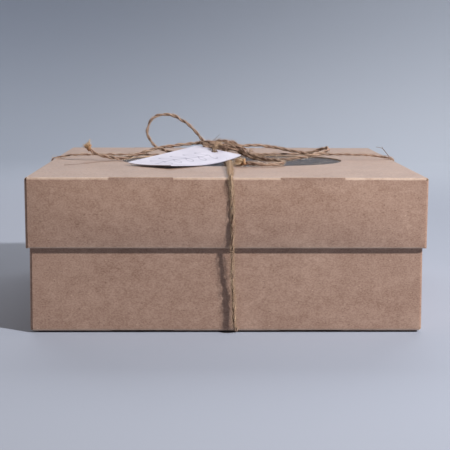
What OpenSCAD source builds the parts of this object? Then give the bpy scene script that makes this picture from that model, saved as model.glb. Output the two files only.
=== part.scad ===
// Two-piece folded kraft gift box: a lid with an oval film window over a base tray,
// tied crosswise with twine that holds a bow and a paper tag.
// Both trays are folded from one flat blank each. Their front and rear walls are rolled
// over the ends of the side walls, and lock into slots cut along the crease.

/* [Lid] */
// Outside width of the lid
lid_w = 206; // [190:1:320]
// Outside depth of the lid
lid_d = 206; // [160:1:320]
// Outside height of the lid
lid_h = 36.4; // [20:0.1:70]

/* [Base] */
// Outside height of the base tray
base_h = 79.4; // [60:0.1:160]
// Gap between the base and the lid at each side wall
side_fit = 0.7; // [0.4:0.1:2]
// Gap between the base and the lid at the front and rear walls
front_fit = 0.5; // [0.4:0.1:2]
// Gap between the base's rim and the underside of the lid's top
rim_fit = 0.3; // [0.2:0.1:1]

/* [Board] */
// Thickness of the folded board
board_t = 0.5; // [0.3:0.05:0.8]
// Air between two layers of board in a rolled wall
layer_gap = 0.1; // [0.05:0.05:0.2]
// Outside radius of the creases between a panel and its walls
crease_r = 1.4; // [1.2:0.1:2.5]
// Outside radius of the upright folds at the corners
fold_r = 1.2; // [1:0.1:2]
// Play between the end of a rolled wall and the corner fold
end_play = 0.2; // [0.1:0.1:1]

/* [Lock tabs] */
// Length of each slot that a lock tab stands in
slot_l = 32.7; // [15:0.1:45]
// Distance of each slot's middle from the middle of the wall
slot_x = 43.8; // [30:0.1:55]
// Play at each end of a lock tab in its slot
tab_play = 0.3; // [0.1:0.1:1]
// How far the tab's edge stays below the panel's face
tab_recess = 0.3; // [0.1:0.05:0.4]

/* [Corner flaps] */
// Length of the flaps trapped in the rolled walls
flap_l = 40; // [20:1:60]
// Size of the bevels at the free end of a flap
flap_bevel = 6; // [2:1:9]

/* [Window] */
// Length of the oval window
window_l = 132; // [100:1:145]
// Width of the oval window
window_w = 83; // [76:1:100]
// Radius of the window's two ends
window_end_r = 36; // [20:1:37]
// How far the window's middle lies to the right of the lid's
window_x = 5; // [-8:1:8]
// How far the window's middle lies behind the lid's
window_y = 4; // [-8:1:8]
// Width of the film's glued margin round the window
film_margin = 9; // [4:1:12]
// Thickness of the clear film
film_t = 0.1; // [0.05:0.05:0.3]

/* [Twine] */
// Diameter of the twine
twine_d = 2; // [1.5:0.1:3]
// Thickness of the twine pressed flat under the box
twine_flat = 0.9; // [0.6:0.1:1.4]
// Width of the twine pressed flat under the box
twine_flat_w = 2.6; // [2:0.1:4]
// Air between the twine and the lid that carries it
twine_seat = 0.15; // [0.05:0.05:0.4]
// Air between the twine and the base, which it slides along
twine_clear = 0.3; // [0.2:0.1:1]

/* [Tag] */
// Length of the paper tag
tag_l = 58; // [40:1:70]
// Width of the paper tag
tag_w = 34; // [20:1:36]
// Thickness of the tag's paper
tag_t = 0.4; // [0.2:0.1:0.8]
// How deep the tag sags between its ends
tag_sag = 2.3; // [0.5:0.1:3]
// Radius of the tag's hole
tag_hole_r = 2; // [1.5:0.1:3]
// Distance of the hole's centre from the tag's end
tag_hole_x = 3.7; // [3:0.1:6]

/* [Hidden] */

kraft = "#b89a80";
kraft_inside = "#a98b72";
jute = "#9c7d55";
jute_frayed = "#b98d52";

// Outside radius of the rolled rim: three layers of board and the air between them
roll_r = (3 * board_t + 2 * layer_gap) / 2;
// How far a slot reaches in from the wall's outer face
slot_depth = 2 * roll_r + layer_gap;
// The base tray fits inside the lid's walls
base_w = lid_w - 2 * (board_t + side_fit);
base_d = lid_d - 2 * (2 * roll_r + front_fit);
// The base stands on the flattened twine, and the lid hangs over its rim
base_z = twine_flat;
lid_top = base_z + base_h + rim_fit + board_t;
twine_r = twine_d / 2;
// Distance of the twine's centre from the lid and from the base
on_lid = twine_r + twine_seat;
on_base = twine_r + twine_clear;
// Height at which the twine under the box ends and the upright stretches begin
drop_end = base_z + crease_r + layer_gap;
// Height at which the stretches over the top end, on the lid's walls
drop_start = lid_top - 5;
drop_top = drop_start - layer_gap;
// Where the two stretches under the box run
under_x = 5.6;
under_y = 8;
// Sides of the twine's section, and the wanted distance between its rings
twine_sides = 8;
ring_step = 3 * twine_d;
// How far a cutting shape reaches past the face that it cuts, and a joined one into its neighbour
past = 1;

// Middle of the knot, which sits on the crossing of the stretches. Its height counts
// from the lid's top
knot_at = [1.5, 4, 7.4];
// Radius and length of the strands gathered in the knot. The bow's strands start just
// clear of its ends, at x -4 and 7
knot_core_r = 2.45;
knot_l = 9.4;
// Radius of the turns of twine round them, to the twine's centre, and their pitch
wrap_r = 2;
wrap_pitch = 2.1;

// Points of the twine where it bends over the lid's edge and starts down the wall.
// foot lies over the crease's axis, and out points away from the lid
bend_r = crease_r + on_lid;
function over_edge(foot, out) = [
    for (a = [0 : 22.5 : 90])
        foot + bend_r * (sin(a) * out + cos(a) * [0, 0, 1]) - [0, 0, crease_r],
    foot + bend_r * out + [0, 0, drop_start - lid_top]
];

// Routes of the twine over the lid, from the crossing outwards
cross_low = on_lid;
cross_high = on_lid + twine_d + 0.1;
front_run = concat(
    [[1.5, 4, cross_low], [1.7, -50, on_lid]],
    over_edge([2.1, -lid_d / 2 + crease_r, 0], [0, -1, 0])
);
rear_run = concat(
    [[1.5, 4, cross_low], [1, 50, on_lid]],
    over_edge([0.5, lid_d / 2 - crease_r, 0], [0, 1, 0])
);
// How far in from the lid's edge the points of the raised stretches lie
left_in = [43, 23, 12, 5.5];
left_run = concat(
    [
        [1.3, 4, cross_high], [-30, 5, 3.3], [-lid_w / 2 + left_in[0], 6, 3.3],
        [-lid_w / 2 + left_in[1], 7, 3.4], [-lid_w / 2 + left_in[2], 8.2, 3.1],
        [-lid_w / 2 + left_in[3], 9.1, 2.3]
    ],
    over_edge([-lid_w / 2 + crease_r, 9.7, 0], [-1, 0, 0])
);
right_in = [45, 27, 12, 5.5];
right_run = concat(
    [
        [1.7, 4, cross_high], [30, 7.5, 3.3], [lid_w / 2 - right_in[0], 9, 3.3],
        [lid_w / 2 - right_in[1], 9.6, 3.1], [lid_w / 2 - right_in[2], 9.9, 2.6],
        [lid_w / 2 - right_in[3], 10, 1.8]
    ],
    over_edge([lid_w / 2 - crease_r, 10, 0], [1, 0, 0])
);
// Distance between the rings of the long stretches
run_step = 16;

// Routes of the upright stretches, down to the ends of the twine under the box.
// Heights count from the floor
rim_z = lid_top - lid_h;
wall_z = (drop_start + rim_z) / 2;
front_drop = [
    [2.1, -lid_d / 2 - on_lid, drop_top], [2.5, -lid_d / 2 - on_lid, wall_z],
    [2.2, -lid_d / 2 - on_lid, rim_z], [under_x, -base_d / 2 - on_base, drop_end]
];
rear_drop = [
    [0.5, lid_d / 2 + on_lid, drop_top], [1, lid_d / 2 + on_lid, wall_z],
    [1.6, lid_d / 2 + on_lid, rim_z], [under_x, base_d / 2 + on_base, drop_end]
];
left_drop = [
    [-lid_w / 2 - on_lid, 9.7, drop_top], [-lid_w / 2 - on_lid, 9.4, wall_z],
    [-lid_w / 2 - on_lid, 9, rim_z], [-base_w / 2 - on_base, under_y, drop_end]
];
right_drop = [
    [lid_w / 2 + on_lid, 10, drop_top], [lid_w / 2 + on_lid, 9.6, wall_z],
    [lid_w / 2 + on_lid, 9.1, rim_z], [base_w / 2 + on_base, under_y, drop_end]
];

// Routes of the free twine of the bow. Heights count from the lid's top.
left_loop = [
    [-4, 5.3, 8.1], [-8, 10, 8.6], [-11.8, 15, 10.1], [-15.7, 17, 14.9], [-20.2, 17.5, 19.4],
    [-24.8, 18, 22.9], [-29, 18, 25.4], [-34.3, 18, 26.6], [-39.5, 18, 26.1], [-43, 18, 24.3],
    [-45.6, 18, 20.8], [-46.6, 18, 17.2], [-46.3, 18, 14], [-44.5, 18, 10.5], [-42, 17.5, 7.4],
    [-37.6, 16.5, 5.5], [-32.6, 15, 3.8], [-24, 12, 3.3], [-14, 8, 4.4], [-4, 4.3, 6.1]
];
right_loop = [
    [7, 5.2, 8.1], [11, 6.4, 8.3], [16, 7, 8.6], [23.4, 8, 8.4], [28.8, 8, 7.7],
    [35, 7, 6.7], [41.2, 5, 5.5], [46.6, 3, 4.6], [51.4, 1.3, 4.4], [55.8, 0, 5.9],
    [59.2, -1.5, 7.4], [61.8, -3.5, 7.9], [62, -6.2, 6.7], [58.7, -9, 5.5], [54.3, -11, 4.7],
    [49.5, -12, 3.7], [43.6, -12, 2.6], [37.8, -11, 1.7], [30.3, -9, 1.3], [22.6, -8, 1.3],
    [16.2, -5, 2.3], [11.2, 0.2, 4.2], [7, 3.8, 6]
];
left_tail = [
    [-4, 3.1, 8.3], [-8.5, 6, 9.4], [-14.2, 9.5, 9.8], [-23.3, 10, 8.8], [-32.3, 8, 8],
    [-41.4, 5.5, 6.4], [-47.2, 2, 4.9], [-53.1, -1, 3.1], [-58.5, -2.5, 1.8],
    [-63.3, -3, 1.3], [-69.3, -3, 2.5], [-74.4, -3, 3.7], [-77.4, -3, 4.7],
    [-79.2, -3.1, 6.5]
];
right_tail = [
    [7, 2.9, 8.2], [9.4, 0, 7.3], [12.4, -4, 5.9], [16, -9.5, 4.3], [20.5, -14, 3],
    [25.5, -19, 2.3], [30.4, -24, 2.1], [33.2, -30, 1.6], [31.9, -37, 1.3], [26.5, -41, 1.3],
    [20.8, -42, 1.4], [16.4, -41, 1.9], [12.5, -40, 2.3]
];
// Outline of a tail's knotted and frayed end: distance along the twine and radius
end_outline = [
    [0, 1], [0.8, 2], [2, 2.4], [3.2, 2.1], [4, 1.3], [5, 1.5], [7.2, 2.2]
];

// The tag turns on its tie at the middle of its own end: where that is, which way the
// tag points, how far its free end lies lower and how far one long edge tips down
tag_pivot = [-3, -2.5, 6.5];
tag_yaw = 227;
tag_drop = 4.8;
tag_roll = 3.3;
// Radius of the tie's twine, and the angles round the tag's end at which it starts and ends
tie_r = 0.8;
tie_from = -70;
tie_to = 170;

// Point between p1 and p2 on a smooth curve through all four
function curve_point(p0, p1, p2, p3, t) =
    0.5 * (2 * p1 + (p2 - p0) * t + (2 * p0 - 5 * p1 + 4 * p2 - p3) * t * t
        + (3 * p1 - p0 - 3 * p2 + p3) * t * t * t);

// Smooth route through the points of p, with a ring about every step
function smooth(p, step) = [
    for (i = [0 : len(p) - 2])
        let (n = max(1, round(norm(p[i + 1] - p[i]) / step)))
            for (k = [0 : n - 1])
                curve_point(p[max(i - 1, 0)], p[i], p[i + 1], p[min(i + 2, len(p) - 1)], k / n),
    p[len(p) - 1]
];

function unit(v) = v / norm(v);

// Direction of route q at its point i
function heading(q, i) = unit(q[min(i + 1, len(q) - 1)] - q[max(i - 1, 0)]);

// Points of the ring of radius r round point i of route q; across is a direction
// that the route never follows
function ring(q, i, r, across) =
    let (h = heading(q, i), a = unit(cross(h, across)), b = cross(h, a))
        [for (k = [0 : twine_sides - 1])
            q[i] + r * (cos(360 * k / twine_sides) * a + sin(360 * k / twine_sides) * b)];

// Twine swept along a route, closed at both ends, with a ring about every step
module twine(route, across, step = ring_step) {
    q = smooth(route, step);
    n = twine_sides;
    last = (len(q) - 1) * n;
    polyhedron(
        points = [for (i = [0 : len(q) - 1]) each ring(q, i, twine_r, across)],
        faces = [
            [for (k = [n - 1 : -1 : 0]) k],
            [for (k = [0 : n - 1]) last + k],
            for (i = [0 : len(q) - 2], k = [0 : n - 1])
                [i * n + k, i * n + (k + 1) % n, (i + 1) * n + (k + 1) % n, (i + 1) * n + k]
        ],
        convexity = 6
    );
}

// Stretch of twine on the lid's top
module on_top(route, across, step = ring_step) {
    color(jute) translate([0, 0, lid_top]) twine(route, across, step);
}

// Section drawn with its first axis along Y and its second up, drawn out along X
module along_x(length) {
    rotate([90, 0, 90]) linear_extrude(length, center = true) children();
}

// Quarter ring of a crease, from the upright wall's foot to the panel's edge
module crease_section(r) {
    intersection() {
        translate([r, r]) difference() {
            circle(r, $fn = 48);
            circle(r - board_t, $fn = 48);
        }
        square(r);
    }
}

// Oval of four arcs with half axes a and b, and end arcs of radius r
module oval(a, b, r) {
    side_r = (a * a + b * b - 2 * a * r) / (2 * (b - r));
    lean = atan2(side_r - b, a - r);
    join = a - r + r * cos(lean);
    intersection() {
        translate([0, b - side_r]) circle(side_r, $fn = 360);
        translate([0, side_r - b]) circle(side_r, $fn = 360);
        square([2 * join, 4 * b], center = true);
    }
    for (side = [-1, 1]) intersection() {
        translate([side * (a - r), 0]) circle(r, $fn = 180);
        translate([side * (join + r - past), 0]) square([2 * r, 4 * b], center = true);
    }
}

// Tray parts stand on z = 0 with the panel's outer face down, and -Y is the front.

// Room for the lock tabs along the front crease
module front_slots(d) {
    for (side = [-1, 1])
        translate([side * slot_x - slot_l / 2, -d / 2 - past, -past])
            cube([slot_l, past + slot_depth, crease_r + 2 * past]);
}

// Flat panel between the four creases
module tray_panel(w, d) {
    difference() {
        translate([-w / 2 + crease_r, -d / 2 + crease_r, 0])
            cube([w - 2 * crease_r, d - 2 * crease_r, board_t]);
        front_slots(d);
        mirror([0, 1, 0]) front_slots(d);
    }
}

// Outer layer of the front wall with its crease, the lips at the slots and the rolled rim
module rolled_wall(w, d, h) {
    length = w - 2 * (fold_r + end_play);
    translate([0, -d / 2, 0]) {
        along_x(length) {
            translate([0, crease_r]) square([board_t, h - roll_r - crease_r]);
            translate([roll_r, h - roll_r]) difference() {
                circle(roll_r, $fn = 48);
                circle(roll_r - board_t, $fn = 48);
                translate([-2 * roll_r, -2 * roll_r]) square([4 * roll_r, 2 * roll_r]);
            }
        }
        difference() {
            along_x(w - 2 * crease_r) crease_section(crease_r);
            translate([0, d / 2, 0]) front_slots(d);
        }
        for (side = [-1, 1])
            translate([side * slot_x - slot_l / 2, 0, 0]) cube([slot_l, board_t, crease_r]);
    }
}

// Inner layer of the front wall, with the lock tabs at its edge
module inner_wall(w, d, h) {
    half = w / 2 - fold_r - end_play;
    foot = board_t + layer_gap;
    translate([0, -d / 2 + 2 * roll_r - board_t, 0]) {
        translate([-half, 0, foot]) cube([2 * half, board_t, h - roll_r - foot]);
        for (side = [-1, 1])
            translate([side * slot_x - slot_l / 2 + tab_play, 0, tab_recess])
                cube([slot_l - 2 * tab_play, board_t, foot - tab_recess]);
    }
}

// Right wall with its crease and the two upright folds that lead to the corner flaps
module side_wall(w, d, h) {
    half = d / 2 - board_t - layer_gap - fold_r;
    foot = crease_r + layer_gap;
    translate([w / 2, 0, 0]) rotate([90, 0, 0]) mirror([1, 0, 0])
        linear_extrude(2 * half, center = true) {
            crease_section(crease_r);
            translate([0, crease_r]) square([board_t, h - crease_r]);
        }
    for (side = [0, 1]) mirror([0, side, 0])
        translate([w / 2 - fold_r, half, foot])
            linear_extrude(h - foot) intersection() {
                difference() {
                    circle(fold_r, $fn = 48);
                    circle(fold_r - board_t, $fn = 48);
                }
                square(fold_r);
            }
}

// Flap at the front end of the right wall, between the layers of the front wall
module corner_flap(w, d, h) {
    foot = crease_r + layer_gap;
    head = h - roll_r;
    translate([w / 2 - fold_r, -d / 2 + 2 * board_t + layer_gap, 0])
        rotate([90, 0, 0]) linear_extrude(board_t) polygon([
            [0, foot], [0, head], [flap_bevel - flap_l, head], [-flap_l, head - flap_bevel],
            [-flap_l, foot + flap_bevel], [flap_bevel - flap_l, foot]
        ]);
}

// Place of the lid's parts: upside down, its panel's outer face at the top
module as_lid() {
    translate([0, 0, lid_top]) mirror([0, 0, 1]) children();
}

module as_base() {
    translate([0, 0, base_z]) children();
}

module lid_top_panel() {
    color(kraft) as_lid() difference() {
        tray_panel(lid_w, lid_d);
        translate([window_x, window_y, -past]) linear_extrude(board_t + 2 * past)
            oval(window_l / 2, window_w / 2, window_end_r);
    }
}

module window_film() {
    color("#c8d0d6", 0.35) as_lid() translate([window_x, window_y, board_t])
        linear_extrude(film_t) oval(
            window_l / 2 + film_margin, window_w / 2 + film_margin, window_end_r + film_margin
        );
}

module lid_front_wall() {
    color(kraft) as_lid() rolled_wall(lid_w, lid_d, lid_h);
}

module lid_front_inner_wall() {
    color(kraft_inside) as_lid() inner_wall(lid_w, lid_d, lid_h);
}

module lid_rear_wall() {
    color(kraft) as_lid() mirror([0, 1, 0]) rolled_wall(lid_w, lid_d, lid_h);
}

module lid_rear_inner_wall() {
    color(kraft_inside) as_lid() mirror([0, 1, 0]) inner_wall(lid_w, lid_d, lid_h);
}

module lid_left_wall() {
    color(kraft) as_lid() mirror([1, 0, 0]) side_wall(lid_w, lid_d, lid_h);
}

module lid_right_wall() {
    color(kraft) as_lid() side_wall(lid_w, lid_d, lid_h);
}

module lid_front_left_flap() {
    color(kraft_inside) as_lid() mirror([1, 0, 0]) corner_flap(lid_w, lid_d, lid_h);
}

module lid_front_right_flap() {
    color(kraft_inside) as_lid() corner_flap(lid_w, lid_d, lid_h);
}

module lid_rear_left_flap() {
    color(kraft_inside) as_lid() mirror([1, 0, 0]) mirror([0, 1, 0])
        corner_flap(lid_w, lid_d, lid_h);
}

module lid_rear_right_flap() {
    color(kraft_inside) as_lid() mirror([0, 1, 0]) corner_flap(lid_w, lid_d, lid_h);
}

module base_bottom_panel() {
    color(kraft) as_base() tray_panel(base_w, base_d);
}

module base_front_wall() {
    color(kraft) as_base() rolled_wall(base_w, base_d, base_h);
}

module base_front_inner_wall() {
    color(kraft_inside) as_base() inner_wall(base_w, base_d, base_h);
}

module base_rear_wall() {
    color(kraft) as_base() mirror([0, 1, 0]) rolled_wall(base_w, base_d, base_h);
}

module base_rear_inner_wall() {
    color(kraft_inside) as_base() mirror([0, 1, 0]) inner_wall(base_w, base_d, base_h);
}

module base_left_wall() {
    color(kraft) as_base() mirror([1, 0, 0]) side_wall(base_w, base_d, base_h);
}

module base_right_wall() {
    color(kraft) as_base() side_wall(base_w, base_d, base_h);
}

module base_front_left_flap() {
    color(kraft_inside) as_base() mirror([1, 0, 0]) corner_flap(base_w, base_d, base_h);
}

module base_front_right_flap() {
    color(kraft_inside) as_base() corner_flap(base_w, base_d, base_h);
}

module base_rear_left_flap() {
    color(kraft_inside) as_base() mirror([1, 0, 0]) mirror([0, 1, 0])
        corner_flap(base_w, base_d, base_h);
}

module base_rear_right_flap() {
    color(kraft_inside) as_base() mirror([0, 1, 0]) corner_flap(base_w, base_d, base_h);
}

// Section of the flattened twine, standing on its lower side
module flat_section() {
    reach = (twine_flat_w - twine_flat) / 2;
    translate([-reach, 0]) square([2 * reach, twine_flat]);
    for (side = [-1, 1])
        translate([side * reach, twine_flat / 2]) circle(twine_flat / 2, $fn = 32);
}

// Flattened twine under a tray that reaches d along Y, turned up round both creases
module flat_stretch(d) {
    half = d / 2 - crease_r;
    rotate([90, 0, 0]) linear_extrude(2 * half, center = true) flat_section();
    for (side = [0, 1]) mirror([0, side, 0])
        translate([0, -half, base_z + crease_r]) rotate([180, 90, 0])
            rotate_extrude(angle = 90, $fn = 96)
                translate([crease_r + twine_flat, 0]) rotate([0, 0, 90]) flat_section();
}

// Space that each stretch leaves for the other where they cross
module crossing_cut(z) {
    translate([under_x - twine_flat_w, under_y - twine_flat_w, z])
        cube([2 * twine_flat_w, 2 * twine_flat_w, twine_flat]);
}

module twine_under_lengthwise() {
    color(jute) difference() {
        translate([under_x, 0, 0]) flat_stretch(base_d);
        crossing_cut(twine_flat / 2);
    }
}

module twine_under_crosswise() {
    color(jute) difference() {
        translate([0, under_y, 0]) rotate([0, 0, 90]) flat_stretch(base_w);
        crossing_cut(-twine_flat / 2);
    }
}

module twine_front_run() {
    on_top(front_run, [1, 0, 0], run_step);
}

module twine_rear_run() {
    on_top(rear_run, [1, 0, 0], run_step);
}

module twine_left_run() {
    on_top(left_run, [0, 1, 0], run_step);
}

module twine_right_run() {
    on_top(right_run, [0, 1, 0], run_step);
}

module twine_front_drop() {
    color(jute) twine(front_drop, [1, 0, 0], lid_h);
}

module twine_rear_drop() {
    color(jute) twine(rear_drop, [1, 0, 0], lid_h);
}

module twine_left_drop() {
    color(jute) twine(left_drop, [0, 1, 0], lid_h);
}

module twine_right_drop() {
    color(jute) twine(right_drop, [0, 1, 0], lid_h);
}

// Three turns of twine round the gathered strands
module twine_knot() {
    color(jute) translate([0, 0, lid_top]) translate(knot_at) rotate([0, 90, 0]) {
        cylinder(r = knot_core_r, h = knot_l, center = true, $fn = 64);
        for (k = [-1 : 1]) translate([0, 0, k * wrap_pitch])
            rotate_extrude($fn = 64) translate([wrap_r, 0]) circle(twine_r, $fn = 32);
    }
}

module bow_left_loop() {
    on_top(left_loop, [0, 1, 0]);
}

module bow_right_loop() {
    on_top(right_loop, [0, 0, 1]);
}

module bow_left_tail() {
    on_top(left_tail, [0, 0, 1]);
}

module bow_right_tail() {
    on_top(right_tail, [0, 0, 1]);
}

// Small overhand knot and frayed tuft that finish a tail
module tail_end(route) {
    q = smooth(route, ring_step);
    last = len(q) - 1;
    h = heading(q, last);
    color(jute_frayed) translate([0, 0, lid_top]) translate(q[last])
        rotate([0, acos(h[2]), atan2(h[1], h[0])])
            rotate_extrude($fn = 48) polygon([
                [0, end_outline[0][0]],
                for (p = end_outline) [p[1] * twine_r, p[0]],
                [0, end_outline[len(end_outline) - 1][0]]
            ]);
}

module left_tail_end() {
    tail_end(left_tail);
}

module right_tail_end() {
    tail_end(right_tail);
}

// Place of what turns on the tag's end: X towards its free end, and Z up
module at_tag() {
    translate([0, 0, lid_top]) translate(tag_pivot) rotate([0, 0, tag_yaw]) children();
}

// Loop of twine from the knot through the tag's hole, round the tag's own end
module tag_tie() {
    color(jute) at_tag() rotate([90, 0, 0]) rotate([0, 0, tie_from])
        rotate_extrude(angle = tie_to - tie_from, $fn = 128) translate([tag_hole_x, 0])
            circle(tie_r, $fn = 32);
}

// Paper tag with a hole at its tied end, bent to a long arc that sags between its ends
module gift_tag() {
    arc_r = tag_l * tag_l / (8 * tag_sag) + tag_sag / 2;
    end_slope = asin(tag_l / 2 / arc_r);
    color("white") at_tag() rotate([-tag_roll, asin(tag_drop / tag_l), 0]) difference() {
        rotate([90, 0, 0]) linear_extrude(tag_w, center = true) intersection() {
            translate([tag_l / 2, arc_r - tag_sag]) difference() {
                circle(arc_r + tag_t / 2, $fn = 720);
                circle(arc_r - tag_t / 2, $fn = 720);
            }
            translate([0, -2 * tag_sag]) square([tag_l, 3 * tag_sag]);
        }
        translate([tag_hole_x, 0, 0]) rotate([0, end_slope, 0])
            cylinder(r = tag_hole_r, h = 3 * tag_sag, center = true, $fn = 48);
    }
}

lid_top_panel();
lid_front_wall();
lid_front_inner_wall();
lid_rear_wall();
lid_rear_inner_wall();
lid_left_wall();
lid_right_wall();
lid_front_left_flap();
lid_front_right_flap();
lid_rear_left_flap();
lid_rear_right_flap();
window_film();
base_bottom_panel();
base_front_wall();
base_front_inner_wall();
base_rear_wall();
base_rear_inner_wall();
base_left_wall();
base_right_wall();
base_front_left_flap();
base_front_right_flap();
base_rear_left_flap();
base_rear_right_flap();
twine_under_lengthwise();
twine_under_crosswise();
twine_front_drop();
twine_rear_drop();
twine_left_drop();
twine_right_drop();
twine_front_run();
twine_rear_run();
twine_left_run();
twine_right_run();
twine_knot();
bow_left_loop();
bow_right_loop();
bow_left_tail();
bow_right_tail();
left_tail_end();
right_tail_end();
tag_tie();
gift_tag();
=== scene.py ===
# %% [markdown]
# # A kraft board gift box with a window, twine and a paper tag
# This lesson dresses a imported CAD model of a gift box. The CAD model holds the sizes and
# the joints. Blender adds what a hand feels on the real box: soft folds, raw board edges,
# hairy twine, thin film that mirrors the room, and a curled paper tag.

# %% Load the frame
import math

import bmesh
import bpy
import numpy as np
from mathutils import Matrix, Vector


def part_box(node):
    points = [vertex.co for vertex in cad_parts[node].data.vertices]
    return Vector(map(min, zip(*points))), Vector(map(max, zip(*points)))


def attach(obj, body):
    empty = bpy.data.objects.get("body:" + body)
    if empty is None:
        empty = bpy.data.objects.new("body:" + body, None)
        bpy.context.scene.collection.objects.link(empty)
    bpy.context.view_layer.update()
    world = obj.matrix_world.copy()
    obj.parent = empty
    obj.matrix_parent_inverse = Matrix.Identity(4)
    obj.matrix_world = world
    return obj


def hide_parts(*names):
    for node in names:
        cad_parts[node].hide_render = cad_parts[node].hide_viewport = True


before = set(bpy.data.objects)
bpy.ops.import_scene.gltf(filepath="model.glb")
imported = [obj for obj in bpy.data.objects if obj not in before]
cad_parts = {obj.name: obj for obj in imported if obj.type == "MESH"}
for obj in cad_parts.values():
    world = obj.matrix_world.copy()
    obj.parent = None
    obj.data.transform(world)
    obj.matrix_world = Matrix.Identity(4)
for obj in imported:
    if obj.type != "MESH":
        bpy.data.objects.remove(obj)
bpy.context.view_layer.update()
mm = 0.001

# %% [markdown]
# ## The camera
# The camera looks at the box's front, a little from above. How narrow the top looks tells how
# high the lens stands, and a long lens keeps the upright edges nearly parallel. The camera
# comes first, because the free twine is measured against what it sees.

# %% Camera
IMAGE_PX = 450
FOCAL_PX = 1098.6
SENSOR_MM = 36
EYE = (-11.7 * mm, -657.9 * mm, 137.6 * mm)
YAW, PITCH, ROLL = (math.radians(a) for a in (1.103, 8.273, -0.209))


def look(yaw, pitch, roll):
    """Rotation of a camera turned right by yaw, down by pitch and then rolled about its view."""
    level = math.cos(pitch)
    ahead = np.array([math.sin(yaw) * level, math.cos(yaw) * level, -math.sin(pitch)])
    right = np.array([math.cos(yaw), -math.sin(yaw), 0])
    down = np.cross(ahead, right)
    x = math.cos(roll) * right + math.sin(roll) * down
    y = math.sin(roll) * right - math.cos(roll) * down
    return np.column_stack([x, y, -ahead])


def placed(turn, place):
    """Matrix that turns an object by a rotation and then moves it to its place."""
    return Matrix.Translation(place) @ Matrix(turn.tolist()).to_4x4()


def linked(name, data):
    """New object in the scene for a camera, a lamp or a mesh."""
    made = bpy.data.objects.new(name, data)
    bpy.context.collection.objects.link(made)
    return made


lens = bpy.data.cameras.new("camera")
lens.sensor_width = SENSOR_MM
lens.lens = SENSOR_MM * FOCAL_PX / IMAGE_PX
camera = linked("camera", lens)
camera.matrix_world = placed(look(YAW, PITCH, ROLL), EYE)
bpy.context.scene.camera = camera
bpy.context.scene.view_settings.view_transform = "Standard"
print("Lens: %.1f mm" % lens.lens)

# %% [markdown]
# ## Sizes from the frame
# Each tray is a panel with four walls. Its sizes are read from the boxes of its CAD nodes,
# so the Blender sheets land exactly where the CAD solids are.

# %% Tray sizes


def reach(node):
    """Lowest and highest corner of a CAD node as arrays."""
    low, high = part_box(node)
    return np.array(low), np.array(high)


def tray_sizes(name, panel):
    """Driving sizes of a tray: outside width, depth and height, board and the fold radii."""
    panel_low, panel_high = reach(panel)
    wall_low, wall_high = reach(name + "_front_wall")
    side_high = reach(name + "_right_wall")[1]
    inner_high = reach(name + "_front_inner_wall")[1]
    flap_low, flap_high = reach(name + "_front_right_flap")
    up = 1 if panel_low[2] + panel_high[2] < wall_low[2] + wall_high[2] else -1
    return {
        "name": name, "up": up, "face": panel_low[2] if up > 0 else panel_high[2],
        "w": 2 * side_high[0], "d": -2 * wall_low[1], "h": wall_high[2] - wall_low[2],
        "board": panel_high[2] - panel_low[2], "crease": side_high[0] - panel_high[0],
        "roll": (inner_high[1] - wall_low[1]) / 2, "fold": side_high[0] - flap_high[0],
        "flap": flap_high[0] - flap_low[0], "flap_y": flap_low[1] - wall_low[1],
        "length": 2 * wall_high[0],
    }


lid = tray_sizes("lid", "lid_top_panel")
base = tray_sizes("base", "base_bottom_panel")
lid_top = lid["face"]
for tray in (lid, base):
    print(tray["name"], {k: round(v / mm, 2) for k, v in tray.items() if k not in ("name", "up")})

# %% [markdown]
# ## Twine
# Jute twine is a few plies twisted round each other, with stray hairs. A round tube looks like wire, so each
# ply is its own thin tube that winds round the route, and the hairs are slivers that grow out of the plies.
# The route is a smooth curve through a few given points, close to those of the CAD source.

# %% Route helpers
CURVE_STEPS = 24


def gaps(line):
    """Distance from each point of a line to the next."""
    return np.linalg.norm(np.diff(line, axis=0), axis=1)


def way_along(line):
    """How far along a line each of its points lies: the running sum of the gaps."""
    return np.concatenate([[0], np.cumsum(gaps(line))])


def length_of(line):
    """Length of a line of points."""
    return float(gaps(line).sum())


def smooth(points, step):
    """Smooth curve through all points, resampled to steps of about one length. At each point its
    velocity is the mean of the two neighbouring ones, weighted by the other stretch's length, so
    a long stretch next to a short one doesn't swing past its end."""
    p = np.asarray(points, float)
    gap = gaps(p)[:, None]
    speed = np.diff(p, axis=0) / gap
    inner = (speed[:-1] * gap[1:] + speed[1:] * gap[:-1]) / (gap[:-1] + gap[1:])
    speed = np.vstack([speed[:1], inner, speed[-1:]])
    t = np.linspace(0, 1, CURVE_STEPS, endpoint=False)[None, :, None]
    a, b = p[:-1, None], p[1:, None]
    va, vb = (speed[:-1] * gap)[:, None], (speed[1:] * gap)[:, None]
    fine = a + va * t + (3 * (b - a) - 2 * va - vb) * t**2 + (2 * (a - b) + va + vb) * t**3
    fine = np.vstack([fine.reshape(-1, 3), p[-1:]])
    along = way_along(fine)
    even = np.linspace(0, along[-1], max(3, int(round(along[-1] / step)) + 1))
    return np.column_stack([np.interp(even, along, fine[:, k]) for k in range(3)])


def frames(line, start=(0, 0, 1)):
    """Heading and two sideways directions at each point, carried along without twisting."""
    heading = np.gradient(line, axis=0)
    heading /= np.linalg.norm(heading, axis=1)[:, None]
    side = np.empty_like(line)
    s = np.cross(heading[0], start)
    if np.linalg.norm(s) < 0.1:
        s = np.cross(heading[0], (0, 1, 0))
    for i, h in enumerate(heading):
        s = s - h * (s @ h)
        s /= np.linalg.norm(s)
        side[i] = s
    return heading, side, np.cross(heading, side)


def wander(rng, count, every, size):
    """Smooth random numbers: one drawn for every few points, joined by a cosine blend."""
    knots = rng.normal(0, size, count // every + 3)
    at = np.arange(count) / every
    k = at.astype(int)
    share = (1 - np.cos(np.pi * (at - k))) / 2
    return knots[k] * (1 - share) + knots[k + 1] * share


# %% Mesh helpers


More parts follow.
